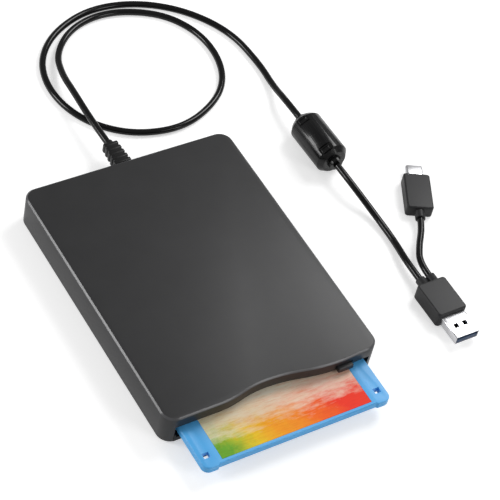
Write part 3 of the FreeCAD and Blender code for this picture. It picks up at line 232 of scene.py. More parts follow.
class HousingLook(bpy.types.PropertyGroup):
    """Colours and edges of the housing."""
    cover: colour("Cover", (0.020, 0.020, 0.021), "Moulded top cover")
    base: colour("Base", (0.018, 0.018, 0.019), "Bottom cover and feet")
    button: colour("Button", (0.024, 0.024, 0.026), "Eject button")
    # The chamfer's paler colour is a painted highlight along the cover's top edges
    chamfer: colour("Chamfer", (0.090, 0.090, 0.094), "Satin chamfer round the cover's top")
    roughness: share("Roughness", 0.42, "How matt the cover is")
    edge: length("Edge", 0.00018, "Width of the fine round on each moulded edge")


class DiskLook(bpy.types.PropertyGroup):
    """Colours of the disk."""
    case: colour("Case", (0.098, 0.455, 0.900), "Moulded disk case")
    paper: colour("Paper", (1.0, 0.90, 0.72), "Bare paper of the label")
    edge: length("Edge", 0.00015, "Width of the fine round on the case's edges")


class CordLook(bpy.types.PropertyGroup):
    """Colours and gloss of the cord and its fittings."""
    jacket: colour("Jacket", (0.0035, 0.0035, 0.0038), "Cord jacket")
    gloss: share("Jacket roughness", 0.16, "How matt the jacket is")
    barrel: colour("Barrel", (0.0035, 0.0035, 0.0038), "Ferrite case")
    grip: colour("Grip", (0.014, 0.014, 0.015), "Plug overmoulds")
    sections: IntProperty(name="Sections", description="Faces round the cord's quarter",
                          default=5, min=2, max=12)


class StudioLook(bpy.types.PropertyGroup):
    """Lamps and floor."""
    world: FloatProperty(name="World", description="Strength of the even light",
                         default=0.30, min=0.0, max=3.0)
    shine: share("Shine", 0.05, "How much of the white surroundings gloss shows")
    key: power("Key", 3.2, "Power of the large lamp")
    side: power("Side", 3.2, "Power of the left lamp")
    front: power("Front", 1.6, "Power of the front lamp")


# Materials

def new_material(name):
    """Start a material and return it with its node tree and its shader."""
    material = bpy.data.materials.new(name)
    material.use_nodes = True
    tree = material.node_tree
    shader = tree.nodes["Principled BSDF"]
    return material, tree, shader


def add_node(tree, kind, **settings):
    """Add a shader node and set its properties and sockets."""
    node = tree.nodes.new(kind)
    for key, value in settings.items():
        if key in node.inputs:
            node.inputs[key].default_value = value
        else:
            setattr(node, key, value)
    return node


def object_point(tree, scale=(1, 1, 1), shift=(0, 0, 0)):
    """Object coordinates, scaled and shifted."""
    coords = add_node(tree, "ShaderNodeTexCoord")
    mapping = add_node(tree, "ShaderNodeMapping", Scale=scale, Location=shift)
    tree.links.new(coords.outputs["Object"], mapping.inputs["Vector"])
    return mapping.outputs["Vector"]


def noise(tree, point, scale, detail=3.0, rough=0.55):
    """A noise pattern at a scale per metre."""
    node = add_node(tree, "ShaderNodeTexNoise", Scale=scale, Detail=detail, Roughness=rough)
    tree.links.new(point, node.inputs["Vector"])
    return node.outputs["Fac"]


def ramp(tree, value, stops):
    """Turn a value into colours."""
    node = add_node(tree, "ShaderNodeValToRGB")
    elements = node.color_ramp.elements
    while len(elements) < len(stops):
        elements.new(0.5)
    for element, (position, tint) in zip(elements, stops):
        element.position = position
        element.color = (*tint, 1)
    tree.links.new(value, node.inputs["Fac"])
    return node.outputs["Color"]


def spread(tree, value, low, high):
    """Map a 0 to 1 value onto a range."""
    node = add_node(tree, "ShaderNodeMapRange")
    node.inputs["To Min"].default_value = low
    node.inputs["To Max"].default_value = high
    tree.links.new(value, node.inputs["Value"])
    return node.outputs["Result"]


def mix_colours(tree, factor, one, two, blend="MIX"):
    """Mix two colours; the factor and the colours are sockets or plain values."""
    node = add_node(tree, "ShaderNodeMix", data_type="RGBA", blend_type=blend)
    for value, place in zip((factor, one, two), (MIX_FACTOR, *MIX_TINTS)):
        if isinstance(value, bpy.types.NodeSocket):
            tree.links.new(value, node.inputs[place])
        elif place == MIX_FACTOR:
            node.inputs[place].default_value = value
        else:
            node.inputs[place].default_value = (*value, 1)
    return node.outputs[MIX_TINT_OUT]


def bump(tree, shader, height, distance, strength=0.5):
    """Give the shader a bump from a height pattern."""
    node = add_node(tree, "ShaderNodeBump", Strength=strength, Distance=distance)
    tree.links.new(height, node.inputs["Height"])
    tree.links.new(node.outputs["Normal"], shader.inputs["Normal"])


def surface(tree, shader, tint, pattern, low, high):
    """Link the shader's colour, and a roughness that follows a pattern."""
    tree.links.new(tint, shader.inputs["Base Color"])
    tree.links.new(spread(tree, pattern, low, high), shader.inputs["Roughness"])


def shade(tint, factor):
    """Make a tint darker or lighter."""
    return tuple(min(1, channel * factor) for channel in tint)


def moulded(name, tint, rough, grain=3500, depth=0.00002, uneven=0.10, coat=0.0, shine=0.35):
    """Moulded plastic: fine spark texture, faint mottling and uneven gloss."""
    material, tree, shader = new_material(name)
    point = object_point(tree)
    fine = noise(tree, point, grain, 2)
    broad = noise(tree, point, MOTTLE_SCALE, 4)
    mottled = ramp(tree, broad, [(0.3, shade(tint, 1 - uneven)), (0.7, shade(tint, 1 + uneven))])
    low, high = PLASTIC_SWING
    surface(tree, shader, mottled, fine, rough + low, rough + high)
    shader.inputs["Specular IOR Level"].default_value = shine
    shader.inputs["Coat Weight"].default_value = coat
    shader.inputs["Coat Roughness"].default_value = COAT_ROUGHNESS
    bump(tree, shader, fine, depth)
    return material


def metal(name, tint, rough, brush=(1, 1, 1), scale=900):
    """Bare metal with fine marks, which run across the axis where brush is largest."""
    material, tree, shader = new_material(name)
    marks = noise(tree, object_point(tree, brush), scale, 4, 0.65)
    haze = noise(tree, object_point(tree), HAZE_SCALE, 3)
    clouded = ramp(tree, haze, [(0.3, shade(tint, HAZE_SHADE)), (0.7, tint)])
    low, high = METAL_SWING
    surface(tree, shader, clouded, marks, rough + low, rough + high)
    shader.inputs["Metallic"].default_value = 1.0
    bump(tree, shader, marks, MARK_DEPTH, 0.35)
    return material


def zinc_sheet():
    """Galvanised sheet with its crystal spangle."""
    material, tree, shader = new_material("zinc sheet")
    point = object_point(tree)
    cells = add_node(tree, "ShaderNodeTexVoronoi", Scale=420)
    tree.links.new(point, cells.inputs["Vector"])
    shades = [(0.0, (0.40, 0.41, 0.43)), (1.0, (0.62, 0.63, 0.66))]
    spangle = ramp(tree, cells.outputs["Color"], shades)
    surface(tree, shader, spangle, noise(tree, point, 700), 0.30, 0.48)
    shader.inputs["Metallic"].default_value = 1.0
    return material


def circuit_board():
    """Green lacquer over copper tracks."""
    material, tree, shader = new_material("circuit board")
    point = object_point(tree)
    tracks = add_node(tree, "ShaderNodeTexBrick", Scale=220, offset=0.37, squash=1.6)
    tracks.inputs["Color1"].default_value = (0.012, 0.085, 0.035, 1)
    tracks.inputs["Color2"].default_value = (0.016, 0.11, 0.045, 1)
    tracks.inputs["Mortar"].default_value = (0.05, 0.23, 0.08, 1)
    tracks.inputs["Mortar Size"].default_value = 0.05
    tree.links.new(point, tracks.inputs["Vector"])
    surface(tree, shader, tracks.outputs["Color"], noise(tree, point, 800), 0.22, 0.34)
    bump(tree, shader, tracks.outputs["Fac"], 0.00003, 0.4)
    return material


def brushed_shutter():
    """Thin sheet of the disk's shutter, brushed across its travel."""
    return metal("brushed shutter", (0.68, 0.69, 0.71), 0.30, brush=(1, 14, 1), scale=700)


def cord_jacket(look):
    """Glossy black jacket with slight ripples along the cord."""
    return moulded("cord jacket", tuple(look.jacket), look.gloss, grain=900, uneven=0.15,
                   coat=0.10, shine=0.22)


def barrel_gloss(look):
    """Gloss black case whose shine breaks into fine streaks along the bead."""
    material, tree, shader = new_material("barrel gloss")
    point = object_point(tree, (1, 0.04, 1))
    streaks = noise(tree, point, 1400, 3)
    tints = ramp(tree, streaks, [(0.35, shade(look.barrel, 0.7)), (0.7, shade(look.barrel, 1.6))])
    surface(tree, shader, tints, streaks, 0.14, 0.40)
    shader.inputs["Specular IOR Level"].default_value = 0.22
    shader.inputs["Coat Weight"].default_value = 0.2
    shader.inputs["Coat Roughness"].default_value = 0.10
    bump(tree, shader, streaks, 0.00012, 0.7)
    return material


def label_point(tree):
    """Object coordinates in widths of the label, from its front left corner."""
    low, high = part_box("disk_label")
    wide = high.x - low.x
    return object_point(tree, (1 / wide, 1 / wide, 1), (-low.x / wide, -low.y / wide, 0))


def strokes(tree, point, turn, stretch, scale, rough):
    """A pattern of brush strokes that run one way."""
    mapping = add_node(tree, "ShaderNodeMapping", Rotation=(0, 0, math.radians(turn)),
                       Scale=stretch)
    tree.links.new(point, mapping.inputs["Vector"])
    return noise(tree, mapping.outputs["Vector"], scale, 8, rough)


def plus_share(tree, value, factor, base):
    """Add a share of one value to another."""
    node = add_node(tree, "ShaderNodeMath", operation="MULTIPLY_ADD")
    tree.links.new(value, node.inputs[0])
    node.inputs[1].default_value = factor
    tree.links.new(base, node.inputs[2])
    return node.outputs[0]


def blotted(tree, point):
    """A point of the label, pushed about by soft blots, as its X and its Y."""
    blots = add_node(tree, "ShaderNodeTexNoise", Scale=4.2, Detail=9.0, Roughness=0.66)
    tree.links.new(point, blots.inputs["Vector"])
    shifted = add_node(tree, "ShaderNodeVectorMath", operation="MULTIPLY_ADD")
    tree.links.new(blots.outputs["Color"], shifted.inputs[0])
    shifted.inputs[1].default_value = BLOT_PUSH
    tree.links.new(point, shifted.inputs[2])
    parts = add_node(tree, "ShaderNodeSeparateXYZ")
    tree.links.new(shifted.outputs["Vector"], parts.inputs[0])
    return parts.outputs["X"], parts.outputs["Y"]


def label_print(look):
    """Coated paper with a soft generic wash: slanted brush bands that thin out towards the rear."""
    material, tree, shader = new_material("label print")
    point = label_point(tree)
    across, back = blotted(tree, point)
    lowered = add_node(tree, "ShaderNodeMath", operation="SUBTRACT")
    tree.links.new(plus_share(tree, back, WASH_LEAN, across), lowered.inputs[0])
    lowered.inputs[1].default_value = WASH_START
    hues = ramp(tree, lowered.outputs[0], WASH)
    broad = strokes(tree, point, *BROAD_STROKES)
    fine = strokes(tree, point, *FINE_STROKES)
    fade = ramp(tree, plus_share(tree, broad, STROKE_REACH, back), WASH_FADE)
    washed = mix_colours(tree, fade, hues, tuple(look.paper))
    streak = ramp(tree, fine, STREAK_TINTS)
    final = mix_colours(tree, STREAK_SHARE, washed, streak, "MULTIPLY")
    fibre = noise(tree, object_point(tree), 5000, 2)
    surface(tree, shader, final, fibre, 0.34, 0.46)
    shader.inputs["Specular IOR Level"].default_value = 0.15
    bump(tree, shader, fibre, 0.000006, 0.3)
    return material


def film_coating():
    """Brown magnetic coating with fine rings about the hub."""
    material, tree, shader = new_material("film coating")
    low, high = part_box("magnetic_film")
    middle = (low + high) / 2
    point = object_point(tree, shift=(-middle.x, -middle.y, 0))
    rings = add_node(tree, "ShaderNodeTexWave", wave_type="RINGS", rings_direction="Z",
                     Scale=900, Distortion=0.4)
    tree.links.new(point, rings.inputs["Vector"])
    shades = [(0.0, (0.020, 0.012, 0.009)), (1.0, (0.034, 0.021, 0.015))]
    ringed = rings.outputs["Fac"]
    surface(tree, shader, ramp(tree, ringed, shades), ringed, 0.20, 0.28)
    return material


def coil_copper():
    """Enamelled copper wire wound round the motor's teeth."""
    material, tree, shader = new_material("coil copper")
    point = object_point(tree)
    turns = add_node(tree, "ShaderNodeTexWave", Scale=1500, Distortion=0.6)
    tree.links.new(point, turns.inputs["Vector"])
    shades = [(0.0, (0.30, 0.10, 0.03)), (1.0, (0.62, 0.27, 0.10))]
    wound = turns.outputs["Fac"]
    surface(tree, shader, ramp(tree, wound, shades), wound, 0.22, 0.40)
    shader.inputs["Metallic"].default_value = 0.9
    bump(tree, shader, wound, 0.00005, 0.6)
    return material


def give(piece, material):
    """Make a material the only one of a piece."""
    piece.data.materials.clear()
    piece.data.materials.append(material)


# Modelling helpers

def only(piece):
    """Select one object and nothing else."""
    bpy.ops.object.select_all(action="DESELECT")
    piece.select_set(True)
    bpy.context.view_layer.objects.active = piece


def settle(piece):
    """Put a piece's place into its mesh."""
    only(piece)
    bpy.ops.object.transform_apply(location=True, rotation=True, scale=True)


def pick(piece, kind, test):
    """Open edit mode with only the vertices or faces that pass a test selected."""
    only(piece)
    data = piece.data
    bpy.context.tool_settings.mesh_select_mode = (kind == "VERT", False, kind == "FACE")
    for group in (data.vertices, data.edges, data.polygons):
        group.foreach_set("select", [False] * len(group))
    for item in data.vertices if kind == "VERT" else data.polygons:
        item.select = test(item)
    bpy.ops.object.mode_set(mode="EDIT")


def apply_modifier(piece, kind, **settings):
    """Add a modifier, set it and apply it."""
    only(piece)
    modifier = piece.modifiers.new(kind.title(), kind)
    for key, value in settings.items():
        setattr(modifier, key, value)
    bpy.ops.object.modifier_apply(modifier=modifier.name)


def round_edges(piece, width, limit=40, segments=2):
    """Round the edges that are sharper than a limit."""
    apply_modifier(piece, "BEVEL", width=width, segments=segments, limit_method="ANGLE",
                   angle_limit=math.radians(limit))


def smooth(piece, angle=30):
    """Shade smooth across shallow edges."""
    only(piece)
    bpy.ops.object.shade_smooth_by_angle(angle=math.radians(angle))


def dressed_copy(source, name, edge=0.0):
    """Copy a CAD node's mesh, join its loose triangles and round its edges finely."""
    only(frame["nodes"][source])
    bpy.ops.object.duplicate()
    piece = bpy.context.object
    piece.name = name
    piece.data.name = name
    piece.parent = None
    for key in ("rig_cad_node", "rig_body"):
        if key in piece:
            del piece[key]
    bpy.ops.object.mode_set(mode="EDIT")
    bpy.ops.mesh.select_all(action="SELECT")
    bpy.ops.mesh.remove_doubles(threshold=JOIN_GAP)
    bpy.ops.mesh.dissolve_limited(angle_limit=math.radians(FLAT_ANGLE))
    bpy.ops.object.mode_set(mode="OBJECT")
    if edge > 0:
        round_edges(piece, edge, COPY_LIMIT)
    smooth(piece)
    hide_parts(source)
    return piece


def join(pieces, name):
    """Join pieces into one."""
    only(pieces[0])
    for piece in pieces[1:]:
        piece.select_set(True)
    bpy.ops.object.join()
    whole = bpy.context.object
    whole.name = name
    whole.data.name = name
    return whole


def finish_piece(piece, material, body):
    """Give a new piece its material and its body."""
    give(piece, material)
    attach(piece, body)


# Cords

def lay_cord(name, route, sections, material, source):
    """Draw a cord as one smooth spline through its control points."""
    curve = bpy.data.curves.new(name, "CURVE")
    curve.dimensions = "3D"
    curve.bevel_depth = CORD_RADIUS
    curve.bevel_resolution = sections
    curve.resolution_u = SPLINE_STEPS
    curve.use_fill_caps = True
    spline = curve.splines.new("NURBS")
    spline.points.add(len(route) - 1)
    for point, place in zip(spline.points, route):
        point.co = (*place, 1)
    spline.order_u = 3
    spline.use_endpoint_u = True
    piece = bpy.data.objects.new(name, curve)
    bpy.context.scene.collection.objects.link(piece)
    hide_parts(source)
    finish_piece(piece, material, "housing")
    return piece


# The stage

class FLOPPY_OT_stage(bpy.types.Operator):
    """Lay the floor, hang the lamps and place the camera"""
    bl_idname = "floppy.stage"
    bl_label = "Stage"

    def execute(self, context):
        look = context.scene.floppy_studio
        lay_floor()
        light_world(look)
        hang_lamps(look)
        place_camera()
        return {"FINISHED"}


def lay_floor():
    """A large pale floor that the camera sees as white, with the object's shadow."""
    bpy.ops.mesh.primitive_plane_add(size=FLOOR_SIDE)
    floor = bpy.context.object
    floor.name = "floor"
    material, tree, shader = new_material("floor")
    shader.inputs["Base Color"].default_value = FLOOR_GREY
    shader.inputs["Roughness"].default_value = 0.9
    shader.inputs["Specular IOR Level"].default_value = 0.1
    glow = add_node(tree, "ShaderNodeEmission", Strength=FLOOR_GLOW)
    path = add_node(tree, "ShaderNodeLightPath")
    seen = add_node(tree, "ShaderNodeMath", operation="MULTIPLY_ADD", use_clamp=True)
    tree.links.new(path.outputs["Is Glossy Ray"], seen.inputs[0])
    seen.inputs[1].default_value = GLOW_IN_GLOSS
    tree.links.new(path.outputs["Is Camera Ray"], seen.inputs[2])
    switch = add_node(tree, "ShaderNodeMixShader")
    off = add_node(tree, "ShaderNodeEmission", Strength=0.0)
    tree.links.new(seen.outputs[0], switch.inputs[0])
    tree.links.new(off.outputs[0], switch.inputs[1])
    tree.links.new(glow.outputs[0], switch.inputs[2])
    total = add_node(tree, "ShaderNodeAddShader")
    tree.links.new(shader.outputs[0], total.inputs[0])
    tree.links.new(switch.outputs[0], total.inputs[1])
    tree.links.new(total.outputs[0], tree.nodes["Material Output"].inputs["Surface"])
    give(floor, material)


def light_world(look):
    """Even white light from all round, seen as white."""
    world = bpy.data.worlds.new("studio")
    bpy.context.scene.world = world
    world.use_nodes = True
    tree = world.node_tree
    background = tree.nodes["Background"]
    path = add_node(tree, "ShaderNodeLightPath")
    shine = add_node(tree, "ShaderNodeMath", operation="MULTIPLY_ADD")
    tree.links.new(path.outputs["Is Glossy Ray"], shine.inputs[0])
    shine.inputs[1].default_value = look.shine
    tree.links.new(path.outputs["Is Camera Ray"], shine.inputs[2])
    strength = add_node(tree, "ShaderNodeMix", data_type="FLOAT")
    strength.inputs[MIX_VALUES[0]].default_value = look.world
    strength.inputs[MIX_VALUES[1]].default_value = 1.0
    tree.links.new(shine.outputs[0], strength.inputs[MIX_FACTOR])
    tree.links.new(strength.outputs[0], background.inputs["Strength"])
    background.inputs["Color"].default_value = (1, 1, 1, 1)


def hang_lamps(look):
    """A large soft lamp to the right, and smaller ones at the left and the front."""
    for setting, place, side in LAMPS:
        light = bpy.data.lights.new(setting + "_lamp", "AREA")
        light.shape = "SQUARE"
        light.size = side
        light.energy = getattr(look, setting)
        lamp = bpy.data.objects.new(light.name, light)
        bpy.context.scene.collection.objects.link(lamp)
        lamp.location = place
        aim = LAMP_AIM - Vector(place)
        lamp.rotation_euler = aim.to_track_quat("-Z", "Y").to_euler()


def place_camera():
    """Put the camera at the photograph's viewing angle."""
    back = Vector((math.sin(CAMERA_TURN) * math.cos(CAMERA_TILT),
                   -math.cos(CAMERA_TURN) * math.cos(CAMERA_TILT), math.sin(CAMERA_TILT)))
    level = Vector((0, 0, 1)).cross(back).normalized()
    upright = back.cross(level)
    right = level * math.cos(CAMERA_ROLL) + upright * math.sin(CAMERA_ROLL)
    up = upright * math.cos(CAMERA_ROLL) - level * math.sin(CAMERA_ROLL)
    spot = back * CAMERA_DISTANCE + right * CAMERA_RIGHT + up * CAMERA_UP + CAMERA_AIM
    data = bpy.data.cameras.new("camera")
    data.sensor_width = SENSOR_MM
    data.lens = FOCAL_PIXELS / PHOTO_PIXELS * SENSOR_MM
    data.clip_start = 0.01
    camera = bpy.data.objects.new("camera", data)
    bpy.context.scene.collection.objects.link(camera)
    axes = Matrix((right, up, back)).transposed()
    camera.matrix_world = Matrix.Translation(spot) @ axes.to_4x4()
    bpy.context.scene.camera = camera


# The housing, the disk and the mechanism

class FLOPPY_OT_housing(bpy.types.Operator):
    """Dress the covers, the eject button, the feet and the screws"""
    bl_idname = "floppy.housing"
    bl_label = "Housing"

    def execute(self, context):
        look = context.scene.floppy_housing
        cover = dressed_copy("top_cover", "cover_shell", look.edge)
        finish_piece(cover, moulded("cover plastic", tuple(look.cover), look.roughness, shine=0.45),
                     "housing")
        paint_chamfer_highlight(cover, look)
        base = dressed_copy("bottom_cover", "base_shell", look.edge)
        finish_piece(base, moulded("base plastic", tuple(look.base), 0.5), "housing")
        button = dressed_copy("eject_button", "button_cap", look.edge)
        finish_piece(button, moulded("button plastic", tuple(look.button), 0.4), "eject_parts")
        nodes = frame["nodes"]
        give(nodes["rubber_feet"], moulded("foot rubber", SOFT_BLACK, 0.8, grain=1800))
        give(nodes["case_screws"], metal("black screw steel", (0.10, 0.10, 0.105), 0.35))
        return {"FINISHED"}


def paint_chamfer_highlight(cover, look):
    """Give the cover's top chamfer a glossier finish of its own, in a paler colour that is a
    painted highlight.
    """
    # Paler colour of the chamfer faces: a painted highlight; their lower roughness gives a glossier
    # finish
    satin_highlight = moulded("satin chamfer", tuple(look.chamfer), 0.24, grain=2500, depth=0.000008,
                    uneven=0.08)
    cover.data.materials.append(satin_highlight)
    top = max(vertex.co.z for vertex in cover.data.vertices)
    for face in cover.data.polygons:
        sloped = CHAMFER_SLOPE[0] < face.normal.z < CHAMFER_SLOPE[1]
        if sloped and face.center.z > top - CHAMFER_DEPTH:
            face.material_index = 1


class FLOPPY_OT_disk(bpy.types.Operator):
    """Dress the disk: case halves, label, hub, film, shutter and tab"""
    bl_idname = "floppy.disk"
    bl_label = "Disk"

    def execute(self, context):
        look = context.scene.floppy_disk
        plastic = moulded("disk plastic", tuple(look.case), 0.36, grain=4500, depth=0.000012,
                          uneven=0.05)
        for source, name in (("disk_upper_shell", "disk_upper_half"),
                             ("disk_lower_shell", "disk_lower_half")):
            half = dressed_copy(source, name, look.edge)
            finish_piece(half, plastic, "disk")
        nodes = frame["nodes"]
        give(nodes["disk_label"], label_print(look))
        give(nodes["magnetic_film"], film_coating())
        give(nodes["disk_hub"], metal("hub steel", (0.62, 0.62, 0.64), 0.30))
        give(nodes["disk_shutter"], brushed_shutter())
        give(nodes["write_protect_tab"], moulded("tab plastic", SOFT_BLACK, 0.45))
        return {"FINISHED"}


class FLOPPY_OT_mechanism(bpy.types.Operator):
    """Give each hidden piece of the mechanism its finish"""
    bl_idname = "floppy.mechanism"
    bl_label = "Mechanism"

    def execute(self, context):
        nodes = frame["nodes"]
        sheet = zinc_sheet()
        for name in ("drive_frame", "disk_cradle", "eject_slider", "shutter_lever"):
            give(nodes[name], sheet)
        ground = metal("ground steel", (0.66, 0.66, 0.68), 0.22, brush=(1, 8, 1))
        for name in ("guide_rod", "lead_screw", "spindle_bearing", "spindle_rotor",
                     "eject_spring"):
            give(nodes[name], ground)
        board = circuit_board()
        for name in ("interface_board", "motor_board"):
            give(nodes[name], board)
        chips = moulded("chip plastic", (0.018, 0.018, 0.02), 0.5)
        for name in ("board_chips", "sensor_switches"):
            give(nodes[name], chips)
        ivory = moulded("ivory plastic", (0.68, 0.66, 0.58), 0.42)
        for name in ("cord_socket", "head_carriage", "upper_head_arm"):
            give(nodes[name], ivory)
        give(nodes["motor_core"], coil_copper())
        can = metal("stepper can", (0.55, 0.55, 0.57), 0.34, brush=(8, 1, 8))
        give(nodes["stepper_motor"], can)
        return {"FINISHED"}


# The strain relief

def placed_block(name, spans, place):
    """A block of a width, a length and a height, put where a matrix says."""
    bpy.ops.mesh.primitive_cube_add(size=1)
    block = bpy.context.object
    block.name = name
    block.scale = spans
    settle(block)
    block.matrix_world = place
    settle(block)
    return block


def rounded_block(name, middle, spans, edge):
    """A block with round edges, in place."""
    block = placed_block(name, spans, Matrix.Translation(middle))
    round_edges(block, edge, segments=3)
    return block


def narrow_end(block, factor_x, factor_z):
    """Draw in the end of a block that faces +Y."""
    vertices = block.data.vertices
    middle = sum((vertex.co for vertex in vertices), Vector()) / len(vertices)
    pick(block, "VERT", lambda vertex: vertex.co.y > middle.y)
    bpy.ops.transform.resize(value=(factor_x, 1, factor_z), center_override=middle)
    bpy.ops.object.mode_set(mode="OBJECT")


def boot_spot(along):
    """A place on the boot's line, at a distance from the wall."""
    return BOOT_LINE + Vector((0, BOOT_BACK + along, 0))


def boot_ribs():
    """The boot's root in the wall, and its ribs, each a little smaller than the one before."""
    ribs = [rounded_block("boot_root", boot_spot(0), (BOOT_WIDTH, ROOT_LENGTH, BOOT_HEIGHT),
                          ROOT_EDGE)]
    for number in range(RIBS):
        part = (number + 1) / RIBS
        wide = BOOT_WIDTH + (BOOT_TIP_WIDTH - BOOT_WIDTH) * part
        tall = BOOT_HEIGHT + (BOOT_TIP_HEIGHT - BOOT_HEIGHT) * part
        spot = boot_spot(FIRST_RIB + RIB_PITCH * number)
        ribs.append(rounded_block("boot_rib", spot, (wide, RIB_LENGTH, tall), RIB_EDGE))
    return ribs


def boot_core():
    """The thinner spine that joins the ribs, with a collar round the cord at its tip."""
    spine = rounded_block("boot_spine", boot_spot(SPINE_MIDDLE), SPINE_SPANS, SPINE_EDGE)
    narrow_end(spine, *SPINE_TAPER)
    bpy.ops.mesh.primitive_cylinder_add(vertices=COLLAR_SIDES, radius=COLLAR_RADIUS,
                                        depth=COLLAR_LENGTH, rotation=(math.radians(90), 0, 0),
                                        location=boot_spot(BOOT_LENGTH - COLLAR_LENGTH / 2))
    collar = bpy.context.object
    settle(collar)
    round_edges(collar, COLLAR_EDGE, segments=3)
    return [spine, collar]


class FLOPPY_OT_strain_relief(bpy.types.Operator):
    """Model the ribbed boot where the cord leaves the housing"""
    bl_idname = "floppy.strain_relief"
    bl_label = "Strain relief"

    def execute(self, context):
        look = context.scene.floppy_cord
        first, *others = boot_core() + boot_ribs()
        for other in others:
            apply_modifier(first, "BOOLEAN", operation="UNION", object=other, solver="EXACT")
            bpy.data.objects.remove(other)
        first.name = "ribbed_boot"
        smooth(first, 32)
        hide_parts("strain_relief")
        finish_piece(first, moulded("boot rubber", tuple(look.jacket), 0.36, grain=2000),
                     "housing")
        return {"FINISHED"}


# The ferrite bead

class FLOPPY_OT_ferrite(bpy.types.Operator):
    """Dress the ferrite bead: two clipped half cases with their latches, and the core"""
    bl_idname = "floppy.ferrite"
    bl_label = "Ferrite"

    def execute(self, context):
        look = context.scene.floppy_cord
        gloss = barrel_gloss(look)
        for source, name in (("ferrite_upper_case", "ferrite_barrel"),
                             ("ferrite_lower_case", "ferrite_barrel_half")):
            half = dressed_copy(source, name)
            roll_about_bead(half)
            for along in LATCH_PLACES:
                cut_window(half, along)
            round_edges(half, BEAD_EDGE, 30)
            smooth(half)
            finish_piece(half, gloss, "housing")
        latches = [latch(along) for along in LATCH_PLACES]
        finish_piece(join(latches, "ferrite_latches"), gloss, "housing")
        grey = moulded("sintered grey", (0.03, 0.03, 0.032), 0.6)
        give(frame["nodes"]["ferrite_core"], grey)
        return {"FINISHED"}


def bead_frame(along, roll):
    """A frame on the bead's line: Y runs along it and -X points out through the seam."""
    turned = Matrix.Rotation(BEAD_TURN, 4, "Z") @ Matrix.Rotation(-roll, 4, "Y")
    return Matrix.Translation(BEAD_MIDDLE) @ turned @ Matrix.Translation((0, along, 0))


def roll_about_bead(piece):
    """Roll a half case so that its seam and latches face up and left, as photographed."""
    turn = bead_frame(0, SEAM_ROLL) @ bead_frame(0, 0).inverted()
    piece.matrix_world = turn @ piece.matrix_world
    settle(piece)


def bead_block(name, along, out, spans):
    """A block centred on the seam, at a distance out from the bead's line."""
    return placed_block(name, spans,
                        bead_frame(along, SEAM_ROLL) @ Matrix.Translation((-out, 0, 0)))


def cut_window(half, along):
    """Cut a latch window into a half case."""
    cutter = bead_block("window_cutter", along, BEAD_RADIUS, WINDOW_SPANS)
    apply_modifier(half, "BOOLEAN", operation="DIFFERENCE", object=cutter, solver="EXACT")
    bpy.data.objects.remove(cutter)


def latch(along):
    """A snap latch in its window: a block whose middle is pressed in."""
    block = bead_block("latch", along, BEAD_RADIUS - LATCH_SINK, LATCH_SPANS)
    outward = (bead_frame(along, SEAM_ROLL).to_3x3() @ Vector((-1, 0, 0))).normalized()
    pick(block, "FACE", lambda face: face.normal.dot(outward) > FACING)
    bpy.ops.mesh.inset(thickness=LATCH_RIM)
    bpy.ops.mesh.extrude_region_move(
        TRANSFORM_OT_translate={"value": outward * -LATCH_PRESS})
    bpy.ops.object.mode_set(mode="OBJECT")
    round_edges(block, LATCH_EDGE)
    smooth(block)
    return block


# The plugs and the cords

class FLOPPY_OT_usb_a_plug(bpy.types.Operator):
    """Dress the larger plug: grip, metal sleeve, tongue and contacts"""
    bl_idname = "floppy.usb_a_plug"
    bl_label = "Large plug"

    def execute(self, context):
        look = context.scene.floppy_cord
        grip = dressed_copy("usb_a_overmould", "usb_a_grip", GRIP_EDGE)
        finish_piece(grip, moulded("grip plastic", tuple(look.grip), 0.45), "housing")
        sleeve = dressed_copy("usb_a_shell", "usb_a_sleeve", SLEEVE_EDGE)
        finish_piece(sleeve, metal("nickel sleeve", NICKEL, 0.22, brush=(6, 1, 6)),
                     "housing")
        nodes = frame["nodes"]
        give(nodes["usb_a_tongue"], moulded("tongue plastic", (0.020, 0.050, 0.110), 0.4))
        give(nodes["usb_a_contacts"], metal("gold contact", (0.86, 0.58, 0.20), 0.22))
        return {"FINISHED"}


def oval_sleeve():
    """The small plug's drawn sleeve: a round tube pulled wide, open at the front."""
    bpy.ops.mesh.primitive_cylinder_add(vertices=SLEEVE_SIDES, radius=SLEEVE_HEIGHT / 2,
                                        depth=SLEEVE_LENGTH, rotation=(math.radians(90), 0, 0))
    tube = bpy.context.object
    tube.name = "usb_c_sleeve"
    settle(tube)
    pull = (SLEEVE_WIDTH - SLEEVE_HEIGHT) / 2
    for side in (-1, 1):
        pick(tube, "VERT", lambda vertex, side=side: vertex.co.x * side > SLEEVE_WALL / 4)
        bpy.ops.transform.translate(value=(side * pull, 0, 0))
        bpy.ops.object.mode_set(mode="OBJECT")
    pick(tube, "FACE", lambda face: face.normal.y > FACING)
    bpy.ops.mesh.inset(thickness=SLEEVE_WALL)
    bpy.ops.mesh.extrude_region_move(
        TRANSFORM_OT_translate={"value": (0, SLEEVE_WALL - SLEEVE_LENGTH, 0)})
    bpy.ops.object.mode_set(mode="OBJECT")
    round_edges(tube, SLEEVE_EDGE)
    smooth(tube)
    tube.matrix_world = SMALL_PLUG_PLACE @ Matrix.Translation(
        (0, SLEEVE_BACK + SLEEVE_LENGTH / 2, 0))
    settle(tube)
    return tube


class FLOPPY_OT_usb_c_plug(bpy.types.Operator):
    """Dress the smaller plug: grip, metal sleeve and tongue"""
    bl_idname = "floppy.usb_c_plug"
    bl_label = "Small plug"

    def execute(self, context):
        look = context.scene.floppy_cord
        grip = dressed_copy("usb_c_overmould", "usb_c_grip", GRIP_EDGE)
        finish_piece(grip, moulded("small grip plastic", tuple(look.grip), 0.45), "housing")
        sleeve = oval_sleeve()
        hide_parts("usb_c_shell")
        finish_piece(sleeve, metal("small nickel sleeve", NICKEL, 0.30), "housing")
        give(frame["nodes"]["usb_c_tongue"], moulded("inner tongue", SOFT_BLACK, 0.4))
        return {"FINISHED"}


